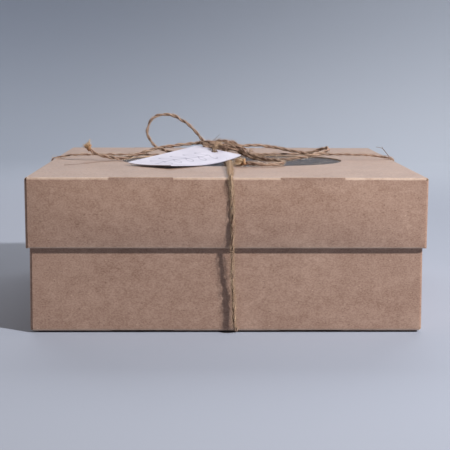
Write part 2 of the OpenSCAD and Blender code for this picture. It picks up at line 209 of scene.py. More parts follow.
def every_pair(a, b):
    """Two grids that pair each value of a, one a row, with each value of b, one a column."""
    return np.meshgrid(a, b, indexing="ij")


def grid_faces(rows, columns, closed=False, first=0):
    """Quads of a grid of points that is stored row by row; closed joins the last column to the first."""
    i, j = every_pair(np.arange(rows - 1), np.arange(columns - (0 if closed else 1)))
    k = (j + 1) % columns
    quads = np.stack([i * columns + j, i * columns + k, (i + 1) * columns + k, (i + 1) * columns + j], -1)
    return quads.reshape(-1, 4) + first


def tube_faces(count, rings, sides, first):
    """Quads and end caps of tubes that are stored one after the other, each ring by ring."""
    one = grid_faces(rings, sides, closed=True)
    starts = first + np.arange(count)[:, None, None] * rings * sides
    caps = np.stack([np.arange(sides)[::-1], (rings - 1) * sides + np.arange(sides)])
    return (one[None] + starts).reshape(-1, 4), (caps[None] + starts).reshape(-1, sides)


def new_piece(name, points, faces, uv=None):
    """Object at the origin from an array of points and arrays of faces, with smooth shading.
    uv gives each point its place in the UV map."""
    mesh = bpy.data.meshes.new(name)
    mesh.from_pydata(np.asarray(points).tolist(), [], [f.tolist() for group in faces for f in group])
    mesh.update()
    mesh.shade_smooth()
    if uv is not None:
        corners = np.empty(len(mesh.loops), np.int32)
        mesh.loops.foreach_get("vertex_index", corners)
        layer = mesh.uv_layers.new(name="place")
        layer.data.foreach_set("uv", np.asarray(uv, np.float32)[corners].ravel())
    return linked(name, mesh)


def dress(piece, body, finish, *nodes):
    """Let a piece stand for CAD nodes, which it hides, and ride on their body. finish is not used."""
    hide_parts(*nodes)
    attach(piece, body)
    return piece


# %% Twisted yarn
TWINE_D = 2 * mm
PLIES, PLY_SIDES = 2, 9
# A ply's distance from the twine's middle and its radius, in diameters of the twine
PLY_OUT, PLY_R = 0.2, 0.31
TWIST_PITCH = 11 * mm


def yarn_mesh(line, rng, diameter=TWINE_D, squash=(1, 1), start=(0, 0, 1), loose=1.0):
    """Plies twisted round a line: a ply's centre circles the line once every pitch, its section is
    a circle whose radius wanders, and both are scaled by squash along the two sideways directions.
    diameter is one number, or one for each point. loose above 1 moves the plies apart. The UV holds
    the way along the twine, in diameters, and the ply's number plus how far the point faces
    outwards, which is kept between 0.02 and 0.98."""
    n = len(line)
    _, side, rise = frames(line, start)
    along = way_along(line)
    around = 2 * np.pi * np.arange(PLY_SIDES) / PLY_SIDES
    outward = 0.02 + 0.96 * np.abs(around / np.pi - 1)
    points, uvs, faces = [], [], []
    for ply in range(PLIES):
        turn = 2 * np.pi * (along / TWIST_PITCH + ply / PLIES) + wander(rng, n, every=9, size=0.5)
        out = diameter * (PLY_OUT + wander(rng, n, every=7, size=0.03)) * loose
        thick = diameter * (
            PLY_R + wander(rng, n, every=5, size=0.025) + wander(rng, n, every=2, size=0.012))
        x = (out * np.cos(turn))[:, None] + thick[:, None] * np.cos(around + turn[:, None])
        y = (out * np.sin(turn))[:, None] + thick[:, None] * np.sin(around + turn[:, None])
        ring = line[:, None] + squash[0] * x[..., None] * side[:, None]
        ring = ring + squash[1] * y[..., None] * rise[:, None]
        points.append(ring.reshape(-1, 3))
        uv = np.broadcast_arrays(along[:, None] / TWINE_D, outward + ply)
        uvs.append(np.stack(uv, -1).reshape(-1, 2))
        faces += tube_faces(1, n, PLY_SIDES, ply * n * PLY_SIDES)
    return points, faces, uvs


print(f"twine: {PLIES} plies, {TWINE_D / mm:.1f} mm thick, one turn in {TWIST_PITCH / mm:.0f} mm")

# %% Hairs and peeled fibres
HAIR_REACH = 3.1 * mm
HAIR_CLEAR = 0.12 * mm
# Share of a hair's length that goes sideways, along the twine and off its course, and how far
# from the twine's middle it starts, in diameters
HAIR_OUT, HAIR_ALONG, HAIR_DRIFT, HAIR_ROOT = 0.5, 0.7, 0.6, 0.3
# A direction that hardly any hair takes, from which its sideways directions are found
SLANT = (0.3, 0.5, 0.8)


def slivers(centre, thick, tip=0.3):
    """Three-sided tubes along rows of points, thinning to their tips."""
    along = np.gradient(centre, axis=1)
    side = np.cross(along, SLANT)
    side /= np.linalg.norm(side, axis=-1, keepdims=True)
    rise = np.cross(along, side)
    rise /= np.linalg.norm(rise, axis=-1, keepdims=True)
    radius = thick / 2 * np.linspace(1, tip, centre.shape[1])[None, :, None, None]
    around = 2 * np.pi * np.arange(3) / 3
    return centre[:, :, None] + radius * (
        np.cos(around)[:, None] * side[:, :, None] + np.sin(around)[:, None] * rise[:, :, None])


def above(centre, floor):
    """The points, with none lower than just above the floor, if there is one."""
    if floor is None:
        return centre
    return np.concatenate([centre[..., :2], np.maximum(centre[..., 2:], floor + HAIR_CLEAR)], -1)


def hair_lines(line, rng, per_mm, long, reach_out=HAIR_REACH, floor=None):
    """Centre lines of stray hairs: each leaves the line sideways and along it, and drifts off by
    the square of its length. None goes further from the line than reach_out."""
    count = max(1, int(length_of(line) / mm * per_mm))
    heading, side, rise = frames(line)
    at = rng.integers(0, len(line), count)
    angle = rng.uniform(0, 2 * np.pi, count)
    out = np.cos(angle)[:, None] * side[at] + np.sin(angle)[:, None] * rise[at]
    lean = rng.uniform(-1, 1, count)[:, None] * heading[at] * HAIR_ALONG
    drift = rng.normal(0, 0.5, (count, 3))
    size = long * rng.uniform(0.3, 1, count)[:, None] ** 1.5
    t = np.linspace(0, 1, 5)[None, :, None]
    push = (out * HAIR_OUT + lean)[:, None]
    start = line[at] + out * TWINE_D * HAIR_ROOT
    centre = start[:, None] + size[:, None] * (t * push + t * t * HAIR_DRIFT * drift[:, None])
    offset = centre - line[at][:, None]
    far = np.linalg.norm(offset, axis=-1, keepdims=True)
    return above(line[at][:, None] + offset * np.minimum(1, reach_out / far), floor)


def peeled_lines(line, rng, per_mm, long, swell, floor=None):
    """Centre lines of fibres that peel off the twine and rejoin it: each follows the line for a
    stretch of about long, at a distance that swells by a sine arch, and turns slowly round it."""
    count = max(1, int(length_of(line) / mm * per_mm))
    heading, side, rise = frames(line)
    last = len(line) - 1
    step = length_of(line) / last
    rings = np.minimum(long / step * rng.uniform(0.4, 1, count)[:, None], last)
    t = np.linspace(0, 1, 9)[None, :]
    place = rng.uniform(0, 1, count)[:, None] * (last - rings) + rings * t
    at = place.astype(int)
    angle = rng.uniform(0, 2 * np.pi, count)[:, None] + rng.normal(0, 1, count)[:, None] * t
    r = TWINE_D * 0.5 + swell * rng.uniform(0.1, 1, count)[:, None] * np.sin(np.pi * t)
    sideways = np.cos(angle)[..., None] * side[at] + np.sin(angle)[..., None] * rise[at]
    return above(line[at] + r[..., None] * sideways + ((place - at) * step)[..., None] * heading[at], floor)


# %% Pieces of twine
RING_STEP, FINE_STEP = 0.7 * mm, 0.6 * mm
HAIR_D, FIBRE_D, FIBRE_L = 0.09 * mm, 0.14 * mm, 9 * mm
# Heights in the UV map that mark a single strand and a loose hair
STRAND_UV, HAIR_UV = 0.4, 9.5


def fibre_piece(name, yarns, tufts, strands=()):
    """One mesh from yarns, each a result of yarn_mesh, and tufts and strands, each an array of
    slivers. Tufts take the colour of hairs and strands that of the twine."""
    points, faces, uvs, count = [], [], [], 0
    for p, f, u in yarns:
        faces += [g + count for g in f]
        points += p
        uvs += u
        count += sum(len(q) for q in p)
    for ring, v in [(t, HAIR_UV) for t in tufts] + [(t, STRAND_UV) for t in strands]:
        faces += tube_faces(*ring.shape[:3], count)
        points.append(ring.reshape(-1, 3))
        along = np.repeat(np.arange(len(ring)), ring[0, ..., 0].size)
        uvs.append(np.column_stack([along, np.full(len(along), v)]))
        count += len(along)
    piece = new_piece(name, np.vstack(points), faces, np.vstack(uvs))
    print(f"{name}: {len(piece.data.polygons)} faces")
    return piece


def strands_of(routes, thick=0.55 * mm):
    """Single strands along routes in metres."""
    return [slivers(smooth(route, RING_STEP)[None], thick, 0.5) for route in routes]


def twine_piece(name, line, seed, hairs, long=3 * mm, reach_out=HAIR_REACH, floor=None,
                peeled=0.8, swell=0.7 * mm, stray=(), stray_d=0.55 * mm, **how):
    """Yarn, its stray hairs and its peeled fibres along a line of points, as one mesh. hairs and
    peeled are numbers for each millimetre, and stray is a list of lines for single strands that
    stick out."""
    rng = np.random.default_rng(seed)
    yarn = yarn_mesh(line, rng, **how)
    hair = slivers(hair_lines(line, rng, hairs, long, reach_out, floor), HAIR_D)
    fibres = slivers(peeled_lines(line, rng, peeled, FIBRE_L, swell, floor), FIBRE_D)
    return fibre_piece(name, [yarn], [hair, fibres], strands_of(stray, stray_d))


# %% [markdown]
# ## The stretches that hold the box
# One length of twine goes under the box both ways, up the four walls and over the lid to
# the knot. Each stretch could be a straight tube, but real twine leans, sags at the bends and
# stands off where a wall bulges, so each is a smooth route through a few points. Under the box
# it is pressed flat, so its section is squashed there.

# %% Twine over the lid and down its walls
ON_LID, ON_BASE, THIN_GAP = 1.15 * mm, 1.3 * mm, 0.75 * mm
UNDER_X, UNDER_Y, FOOT_OUT = 5 * mm, 8 * mm, 1 * mm
EDGE_DROP, LIFT = 5 * mm, 0.1 * mm
# Height of the left and right stretches over the lid at the knot, in millimetres
HIGH = 3.25
half_w, half_d = lid["w"] / 2, lid["d"] / 2
base_half_w, base_half_d = base["w"] / 2, base["d"] / 2
rim_z = lid_top - lid["h"]
drop_z = lid_top - EDGE_DROP
foot_z = base["face"] + base["crease"] + LIFT


def on_top(points):
    """Points in millimetres over the lid's top, as metres in the frame."""
    return np.array(points, float) * mm + [0, 0, lid_top]


def held(top_points, brink, out, wall_points, end, gap=ON_LID):
    """Route of one stretch: over the lid, a quarter turn round its crease from a point at the
    brink, down its wall and on to the base's foot."""
    a = np.radians(np.arange(0, 91, 22.5))[:, None]
    turn = np.sin(a) * np.array(out) + np.cos(a) * np.array([0, 0, 1])
    edge = np.array(brink) + (lid["crease"] + gap) * turn - [0, 0, lid["crease"]] + [0, 0, lid_top]
    return np.vstack([on_top(top_points), edge, wall_points, [end]])


def held_aside(sign, top_points, across):
    """Route of the right stretch, or of the left one where sign is -1. across gives its y in
    millimetres at the crease, halfway down the lid's wall and at the lid's rim."""
    y = np.array(across) * mm
    wall = [[sign * (half_w + THIN_GAP), y[0], drop_z],
            [sign * (half_w + THIN_GAP), y[1], (drop_z + rim_z) / 2],
            [sign * (half_w + ON_LID), y[2], rim_z]]
    return held(top_points, [sign * (half_w - lid["crease"]), y[0], 0], [sign, 0, 0], wall,
                [sign * (base_half_w + FOOT_OUT), UNDER_Y, foot_z], THIN_GAP)


lid_out, base_out = half_d + ON_LID, base_half_d + ON_BASE
FRONT_WALL = np.array([
    [2.2, -104.3, 76.5], [2.6, -105.1, 68], [2.8, -105.6, 58.5], [2.8, -105.3, 49.5], [2.8, -105.1, 44.4],
    [2.75, -104.6, 38], [2.9, -103.9, 28.6], [3.3, -103.6, 22], [3.75, -103.5, 12.9], [4.3, -103.2, 4]]) * mm
routes = {
    "front": held(
        [[1.5, 4, 1.15], [3.2, -25, 1.1], [2.8, -50, 1.1], [2, -90, 1]],
        [1.9 * mm, lid["crease"] - half_d, 0], [0, -1, 0], FRONT_WALL,
        [UNDER_X, -base_half_d - FOOT_OUT, foot_z], 0.85 * mm),
    "rear": held(
        [[1.5, 4, 1.15], [1, 50, 1.15]], [0.5 * mm, half_d - lid["crease"], 0], [0, 1, 0],
        [[0.5 * mm, lid_out, drop_z], [1 * mm, lid_out, (drop_z + rim_z) / 2],
         [1.6 * mm, lid_out, rim_z + 2 * mm], [2 * mm, lid_out - 0.6 * mm, rim_z - 3 * mm],
         [3 * mm, base_out, rim_z - 16 * mm]],
        [UNDER_X, base_half_d + FOOT_OUT, foot_z]),
    "left": held_aside(
        -1, [[1.3, 4, HIGH], [-30, 5, 3], [-60, 6, 2.9], [-80, 7, 2.9], [-91, 8.2, 2.5], [-98.5, 9.2, 1.4]],
        (9.7, 9.4, 9)),
    "right": held_aside(
        1, [[1.7, 4, HIGH], [30, 7.5, 3.3], [58, 9, 3.1], [76, 9.6, 2.9], [91, 9.9, 2.3], [98.5, 10, 1.3]],
        (10, 9.6, 9.1))}

# %% The looks of the four stretches
THREAD = [[-90.8, -35.8, 0.3], [-85.4, -31.2, 0.3], [-79.7, -25.3, 0.35], [-72.6, -15.9, 0.3],
          [-64.4, -8.9, 0.6], [-56, -3.5, 1.5]]
PRONG = [[102.4, 10, -1.5], [101.8, 10, 0.5], [99.3, 10, 3.9], [97.4, 10, 6.3]]
PRONG_TIPS = [93.1, 10, 7.5], [96.7, 10, 7.7]
LOOK = {
    "front": dict(
        hairs=9, long=5 * mm, reach_out=3.6 * mm, peeled=2, swell=0.9 * mm, stray_d=0.35 * mm, stray=[
            on_top([[2.9 + a, -35, 2.2], [2.8 + 0.8 * a, -60, 1.8], [2.1 + 0.2 * a, -97, 1]])
            for a in (-2.4, -1.5, 1.4)]),
    "rear": dict(hairs=2.4, peeled=1.2, diameter=1.6 * mm),
    "left": dict(hairs=2, peeled=1, diameter=1.3 * mm, stray=[on_top(THREAD)], stray_d=0.2 * mm),
    "right": dict(hairs=2, peeled=1, diameter=1.3 * mm, stray=[on_top(PRONG + [tip]) for tip in PRONG_TIPS])}
# Diameter of the front stretch at distances from the knot: tight over the crease, fuller below it
FRONT_AT = np.array([0, 60, 99, 107, 122, 138, 145, 160, 170, 185]) * mm
FRONT_D = np.array([1.9, 1.8, 1.6, 1.7, 2.1, 1.8, 1.4, 1.5, 2.1, 2.1]) * mm
twine_pieces = []
for seed, (side, route) in enumerate(routes.items()):
    line = smooth(route, RING_STEP)
    if side == "front":
        at = np.linspace(0, length_of(line), len(line))
        LOOK[side]["diameter"] = np.interp(at, FRONT_AT, FRONT_D)
    piece = twine_piece(f"{side}_twine", line, 10 + seed, floor=0, **LOOK[side])
    twine_pieces.append(dress(piece, "lid", "jute_twine", f"twine_{side}_run", f"twine_{side}_drop"))

# %% Twine under the base
FLAT, UNDER_STEP = 0.9 * mm, 1.5 * mm


def under_line(half, across, lengthwise):
    """Route under the base: up round the crease at both ends and flat between them."""
    a = np.radians(np.arange(0, 91, 18))
    r = base["crease"] + FLAT / 2
    inner = half - base["crease"]
    out = np.concatenate([inner + r * np.cos(a), [inner - 2 * mm, inner / 2]])
    up = np.concatenate([base["face"] + base["crease"] - r * np.sin(a), [base["face"] - FLAT / 2] * 2])
    along = np.concatenate([-out, out[::-1]])
    height = np.concatenate([up, up[::-1]])
    level = np.full_like(along, across)
    return np.column_stack([level, along, height] if lengthwise else [along, level, height])


for seed, (side, half, across) in enumerate(
        [("lengthwise", base_half_d, UNDER_X), ("crosswise", base_half_w, UNDER_Y)]):
    line = smooth(under_line(half, across, side == "lengthwise"), UNDER_STEP)
    piece = twine_piece(f"{side}_under_twine", line, 20 + seed, hairs=0.3, long=1.5 * mm, floor=0,
                        peeled=0.1, swell=0, diameter=1.6 * mm, squash=(1.3, 0.46))
    twine_pieces.append(dress(piece, "base", "jute_twine", f"twine_under_{side}"))

# %% [markdown]
# ## The bow
# The bow's loops and tails are free twine. Each is one cord that leaves the knot, and its length is the
# length that shows.

# %% Bow cords
LEFT_LOOP = [
    [-4, 5.3, 8.1], [-8, 10, 8.6], [-11.8, 15, 10.1], [-15.7, 17, 14.9], [-20.2, 17.5, 19.4],
    [-24.8, 18, 22.9], [-29, 18, 25.4], [-34.3, 18, 26.6], [-39.5, 18, 26.1], [-43, 18, 24.3],
    [-45.6, 18, 20.8], [-46.6, 18, 17.2], [-46.3, 18, 14], [-44.5, 18, 10.5], [-42, 17.5, 7.4],
    [-37.6, 16.5, 5.5], [-32.6, 15, 3.8], [-24, 12, 3.3], [-14, 8, 4.4], [-4, 4.3, 6.1]]
RIGHT_LOOP = [
    [7, 5.2, 8.1], [11, 6.4, 8.3], [16, 7, 8.6], [23.4, 8, 8.4], [28.8, 8, 7.7],
    [35, 7, 6.7], [41.2, 5, 5.5], [46.6, 3, 4.6], [51.4, 1.3, 4.4], [55.8, 0, 5.9],
    [59.2, -1.5, 7.4], [61.8, -3.5, 7.9], [62, -6.2, 6.7], [58.7, -9, 5.5], [54.3, -11, 4.7],
    [49.5, -12, 3.7], [43.6, -12, 2.6], [37.8, -11, 1.7], [30.3, -9, 1.3], [22.6, -8, 1.3],
    [16.2, -5, 2.3], [11.2, 0.2, 4.2], [7, 3.8, 6]]
LEFT_TAIL = [
    [-4, 3.1, 8.3], [-8.5, 6, 9.4], [-14.2, 9.5, 9.8], [-23.3, 10, 8.8], [-32.3, 8, 8],
    [-41.4, 5.5, 6.4], [-47.2, 2, 4.9], [-53.1, -1, 3.1], [-58.5, -2.5, 1.8],
    [-63.3, -3, 1.3], [-69.3, -3, 2.5], [-74.4, -3, 3.7], [-77.4, -3, 4.7],
    [-79.2, -3.1, 6.5]]
RIGHT_TAIL = [
    [7, 2.9, 8.2], [9.4, 0, 7.3], [12.4, -4, 5.9], [16, -9.5, 4.3], [20.5, -14, 3],
    [25.5, -19, 2.3], [30.4, -24, 2.1], [33.2, -30, 1.6], [31.9, -37, 1.3], [26.5, -41, 1.3],
    [20.8, -42, 1.4], [16.4, -41, 1.9], [12.5, -40, 2.3]]
cords = {}
for seed, (name, route) in enumerate([
        ("left_loop", LEFT_LOOP), ("right_loop", RIGHT_LOOP),
        ("left_tail", LEFT_TAIL), ("right_tail", RIGHT_TAIL)]):
    line = smooth(on_top(route), RING_STEP)
    more = dict(peeled=3, swell=1.2 * mm) if name == "right_tail" else {}
    piece = twine_piece(f"{name}_cord", line, 30 + seed, hairs=2.2, floor=lid_top, **more)
    cords[name] = (dress(piece, "lid", "jute_twine", f"bow_{name}"), line)


# %% [markdown]
# ## The frayed ends
# Each tail ends in a small overhand knot that keeps it from untwisting, and past the knot the
# twine opens into a tuft. The knot is a short coil of the same yarn, and the tuft a bundle of
# hairs that start side by side and fan out.

# %% Frayed ends
END_KNOT_R, END_KNOT_L, END_KNOT_TURNS = 1.5 * mm, 3 * mm, 1.6
TUFT_HAIRS = 90
TUFTS = {"left_tail": dict(lift=0.7, long=3.2 * mm, fan_out=0.5),
         "right_tail": dict(lift=-0.2, long=6.5 * mm, fan_out=0.14)}


def end_knot(line):
    """A small overhand knot past a line's end: a loop and a half round the line's heading."""
    heading, side, rise = (v[-1] for v in frames(line))
    t = np.linspace(0, 1, 30)[:, None]
    turn = 2 * np.pi * END_KNOT_TURNS * t
    r = END_KNOT_R * np.sin(np.pi * np.clip(t * 1.05, 0, 1)) ** 0.5
    return line[-1] + heading * (0.4 * mm + END_KNOT_L * t) + r * (np.cos(turn) * side + np.sin(turn) * rise)


def tuft(line, rng, lift=0.0, long=4 * mm, fan_out=0.3):
    """Hairs of the opened twine past the end knot: they start side by side, and fan out by the
    square of their length. lift turns them up from the line's heading."""
    heading, side, rise = (v[-1] for v in frames(line))
    ahead = heading + [0, 0, lift]
    ahead /= np.linalg.norm(ahead)
    spot = rng.normal(0, 1, (TUFT_HAIRS, 2)).clip(-1.8, 1.8)
    size = long * rng.uniform(0.4, 1, (TUFT_HAIRS, 1))
    t = np.linspace(0, 1, 6)[None, :, None]
    fan = (spot[:, :1] * side + spot[:, 1:] * rise)[:, None]
    start = line[-1] + heading * 2 * mm + 0.75 * mm * fan
    curl = rng.normal(0, 0.22, (TUFT_HAIRS, 1, 3)) * np.sin(np.pi * t)
    centre = start + size[:, None] * (t * ahead + fan_out * t * t * fan + curl)
    return above(centre + rng.normal(0, 0.1 * mm, centre.shape) * t, lid_top)


for seed, (name, shape) in enumerate(TUFTS.items()):
    line = cords[name][1]
    rng = np.random.default_rng(50 + seed)
    yarn = yarn_mesh(smooth(end_knot(line), 0.5 * mm), rng, diameter=1.9 * mm)
    end = fibre_piece(f"{name}_frayed_knot", [yarn], [slivers(tuft(line, rng, **shape), 0.3 * mm)])
    twine_pieces.append(dress(end, "lid", "frayed_jute", f"{name}_end"))
twine_pieces += [piece for piece, _ in cords.values()]

# %% [markdown]
# ## The knot
# A bow tied by hand in hairy twine ends in a bunch that is hard to read: strands that cross,
# a few turns round them, a cut end and loose fibres. Each strand is a route of its own.

# %% Knot
KNOT = on_top([[1.5, 4, 7.4]])[0]
WRAP_R, WRAP_TURNS, WRAP_PITCH = 2 * mm, 2.3, 2.3 * mm
KNOT_YARN_D = 1.05 * mm
KNOT_STRANDS = [
    [[-14, 8.5, 10.2], [-8, 6, 10.5], [-2.5, 4.5, 10.8], [1.5, 3.5, 11], [5, 3, 10.2], [9, 3, 8.6]],
    [[-12, 6, 8.8], [-7, 3.5, 9.2], [-2, 1.5, 9.4], [3, 1, 8.8], [8, 0, 7.4], [12.5, -2, 5.8]],
    [[-12, 5, 7.6], [-6, 2, 7.6], [-1, 0, 7.6], [4, -0.7, 7.2], [9, -1.5, 6.2]],
    [[-5, 6, 7], [0, 5.5, 7.4], [5, 5, 7], [10, 4, 7.2]]]
CUT_END = [[7.5, -0.5, 8.6], [10.5, -1.5, 8], [13.5, -2.5, 7.2]]
DARK_BUNCH = [
    [[1.5, -2.2, 8.8], [-1.5, -2.5, 7.4], [-3.5, -2.8, 6.2], [-5.2, -3, 5.3]],
    [[2, -2.2, 8.2], [-0.5, -2.6, 7], [-2.2, -3, 5.9], [-3.4, -3, 5.3]],
    [[2, -2, 7.8], [0.6, -2.6, 6.8], [-0.6, -3, 5.8]],
    [[1, -2, 9.2], [-2, -2.2, 8.2], [-4, -2.5, 7.2]]]
LONG_HAIR = [[-7.6, 4, 10.6], [-5.2, 4, 12.7], [-3.4, 4, 14.4], [-2.4, 4, 15.4]]


def wrap_line():
    """A helix of a few turns round the middle of the knot."""
    t = np.linspace(0, 1, 50)[:, None]
    turn = 2 * np.pi * WRAP_TURNS * t + 1
    x = (t - 0.5) * WRAP_PITCH * WRAP_TURNS
    return KNOT + np.hstack([x, WRAP_R * np.cos(turn), WRAP_R * np.sin(turn)])


def loosened(route, rng, count, by=0.55 * mm):
    """Several lines near one route: each has its points moved by random steps of its own."""
    return [smooth(on_top(route) + rng.normal(0, by, (len(route), 3)), FINE_STEP) for _ in range(count)]


rng = np.random.default_rng(60)
lines = [smooth(wrap_line(), FINE_STEP)]
for route in KNOT_STRANDS:
    lines += loosened(route, rng, 4)
cut_end = smooth(on_top(CUT_END), FINE_STEP)
yarns = [yarn_mesh(line, rng, diameter=KNOT_YARN_D, start=(0.3, 1, 0.2), loose=1.2)
         for line in lines + [cut_end]]
tufts = [slivers(hair_lines(line, rng, 1.2, 5 * mm, 4 * mm), HAIR_D) for line in lines]
tufts += [slivers(peeled_lines(line, rng, 0.8, 8 * mm, 0.8 * mm), 0.12 * mm) for line in lines]
tufts.append(slivers(tuft(cut_end, rng)[::3], 0.15 * mm))
bunch = [line for route in DARK_BUNCH for line in loosened(route, rng, 3, 0.25 * mm)]
strands = strands_of(bunch, 0.5 * mm) + strands_of([on_top(LONG_HAIR)], 0.3 * mm)
knot = fibre_piece("bow_knot", yarns, tufts, strands)
twine_pieces.append(dress(knot, "lid", "jute_twine", "twine_knot"))

# %% [markdown]
# ## Board sheets
# Each tray is folded from one blank, so its walls are made as sheets: a grid over the outer
# face that follows the crease, the wall and the rolled rim. Solidify then gives the sheet
# its thickness, and its rim becomes the raw edge of the board, which has its own material.

# %% Sheet helpers
WALL_BOW = {"lid": 0.35 * mm, "base": 0.45 * mm}
TAPER = {"lid": 0, "base": 0.8 * mm}
BULGE = {"lid": 1.7 * mm, "base": 0}
STRIP = 1 * mm
WELD, NEAR, SHARP = 0.002 * mm, 0.001 * mm, math.radians(35)
# Points of a grid: across a rolled wall and a side wall, up them, and round a crease and a rim
ROLLED_ACROSS, SIDE_ACROSS, UPWARDS, QUARTER, HALF = 41, 35, 9, 9, 13
SLOT_L, SLOT_X, TAB_PLAY, TAB_RECESS, SLOT_EXTRA, LAYER_GAP = (
    v * mm for v in (32.7, 43.8, 0.3, 0.3, 0.1, 0.1))


def solidified(piece, thickness):
    """The piece's mesh with its wall given thickness inwards; its rim takes the second material."""
    shell = piece.modifiers.new("thickness", "SOLIDIFY")
    shell.thickness = thickness
    shell.offset = -1
    shell.use_even_offset = True
    shell.material_offset_rim = 1
    piece.data.materials.append(None)
    piece.data.materials.append(None)
    bpy.context.view_layer.update()
    solid = bpy.data.meshes.new_from_object(piece.evaluated_get(bpy.context.evaluated_depsgraph_get()))
    piece.modifiers.clear()
    piece.data = solid
    solid.set_sharp_from_angle(angle=SHARP)
    return piece


def sheet_piece(name, grids, thickness, flip=False, closed=False, uv=None):
    """One welded sheet from grids of points, whose outward side is rows crossed with columns."""
    points, faces, count = [], [], 0
    for grid in grids:
        rows, columns = grid.shape[:2]
        quads = grid_faces(rows, columns, closed=closed, first=count)
        faces.append(quads if flip else quads[:, ::-1])
        points.append(grid.reshape(-1, 3))
        count += rows * columns
    piece = new_piece(name, np.vstack(points), faces, uv)
    work = bmesh.new()
    work.from_mesh(piece.data)
    bmesh.ops.remove_doubles(work, verts=work.verts, dist=WELD)
    work.to_mesh(piece.data)
    work.free()
    return solidified(piece, thickness)


def in_tray(tray, points, mirror=(1, 1)):
    """Points counted from a tray's panel, as points of the frame. The base gets a little narrower
    towards its rim: x and y shrink in proportion to the height."""
    narrow = TAPER[tray["name"]] / (tray["w"] / 2) * np.clip(points[..., 2:] / tray["h"], 0, 1)
    kept = 1 - narrow * (1, 1, 0)
    return points * kept * (*mirror, tray["up"]) + np.array([0, 0, tray["face"]])


def turned_over(tray, mirror):
    """Whether a wall that is mirrored into its place needs its faces turned round."""
    return mirror[0] * mirror[1] * tray["up"] < 0


# %% The shape of a wall


def share_up(tray, height):
    """How far up its wall a height lies: 0 at the crease and 1 at the rim."""
    return np.clip((height - tray["crease"]) / (tray["h"] - tray["crease"]), 0, 1)


def bowed(tray, along, height):
    """How far a wall bows outwards: most halfway along, at the rim of the lid and half up the base."""
    up = share_up(tray, height)
    rise = up**1.5 if tray["up"] < 0 else np.sin(np.pi * up)
    return WALL_BOW[tray["name"]] * np.cos(np.pi * np.clip(along, -0.5, 0.5)) * rise


def puffed(tray, along, height, inward):
    """How far the outer layer of a rolled wall stands off: an arch over the wall's height that
    fades towards the corners and the inner layer."""
    up = share_up(tray, height)
    middle = 1 - np.abs(2 * along).clip(0, 1) ** 6
    outer = np.clip(1 - inward / (2 * tray["roll"]), 0, 1)
    return BULGE[tray["name"]] * 4 * up * (1 - up) * middle * outer


def profiled(at, profile):
    """A profile, inwards and up, at every place along a wall, as grids of place, inwards and up."""
    along, inward = every_pair(at, profile[:, 0])
    return along, inward, np.broadcast_to(profile[:, 1], along.shape)


def crease_bend(tray):
    """A quarter circle from the panel to the wall: inwards from the outer face and up."""
    a = np.radians(np.linspace(0, 90, QUARTER))
    return tray["crease"] * np.column_stack([1 - np.sin(a), 1 - np.cos(a)])


# %% Rolled front and rear walls


def rolled_wall(tray, mirror, name):
    """Crease, outer layer, rolled rim and inner layer of a wall, with lips and lock tabs at its slots.
    A quarter circle leads from the panel to the wall, and a half circle round the rim."""
    half = tray["length"] / 2
    ends, tabs = ([s * SLOT_X + e * out for s in (-1, 1) for e in (-1, 1)]
                  for out in (SLOT_L / 2, SLOT_L / 2 - TAB_PLAY))
    x = np.unique(np.concatenate([np.linspace(-half, half, ROLLED_ACROSS), ends, tabs]).round(7))
    turn = np.radians(np.linspace(0, 180, HALF))
    crease, roll, top = tray["crease"], tray["roll"], tray["h"] - tray["roll"]
    bend = crease_bend(tray)
    outer = np.column_stack([np.zeros(UPWARDS), np.linspace(crease, top, UPWARDS)])
    rim = np.column_stack([roll * (1 - np.cos(turn)), top + roll * np.sin(turn)])
    foot = tray["board"] + LAYER_GAP
    inner = np.column_stack([np.full(6, 2 * roll), np.linspace(top, foot, 6)])
    strip = np.array([[crease + STRIP, 0], [crease, 0]])
    lip = np.array([[0, 0], [0, crease / 2], [0, crease]]) if tray["up"] < 0 else bend[4:]
    behind = np.array([[crease + STRIP, 0], [2 * roll + SLOT_EXTRA, 0]])
    tab = np.array([[2 * roll, foot], [2 * roll, TAB_RECESS]])

    def carried(x, profile):
        """The profile's points at every x, with the wall's bow and its bulge."""
        along, inward, height = profiled(x, profile)
        share = along / tray["length"]
        y = inward - tray["d"] / 2 - bowed(tray, share, height) - puffed(tray, share, height, inward)
        return in_tray(tray, np.stack([along, y, height], -1), mirror)

    grids = [carried(x, np.vstack([outer, rim[1:], inner[1:]]))]
    borders = [-half, *ends, half]
    for k, (a, b) in enumerate(zip(borders[:-1], borders[1:])):
        part = x[(x > a - NEAR) & (x < b + NEAR)]
        if k % 2 == 0:
            grids.append(carried(part, np.vstack([strip, bend[1:]])))
        else:
            grids += [carried(part, lip), carried(part, behind), carried(part[1:-1], tab)]
    return sheet_piece(name, grids, tray["board"], flip=turned_over(tray, mirror))


# %% Side walls with their corner flaps
FLAP_BEVEL, FLAP_GRID = 6 * mm, (9, 4)


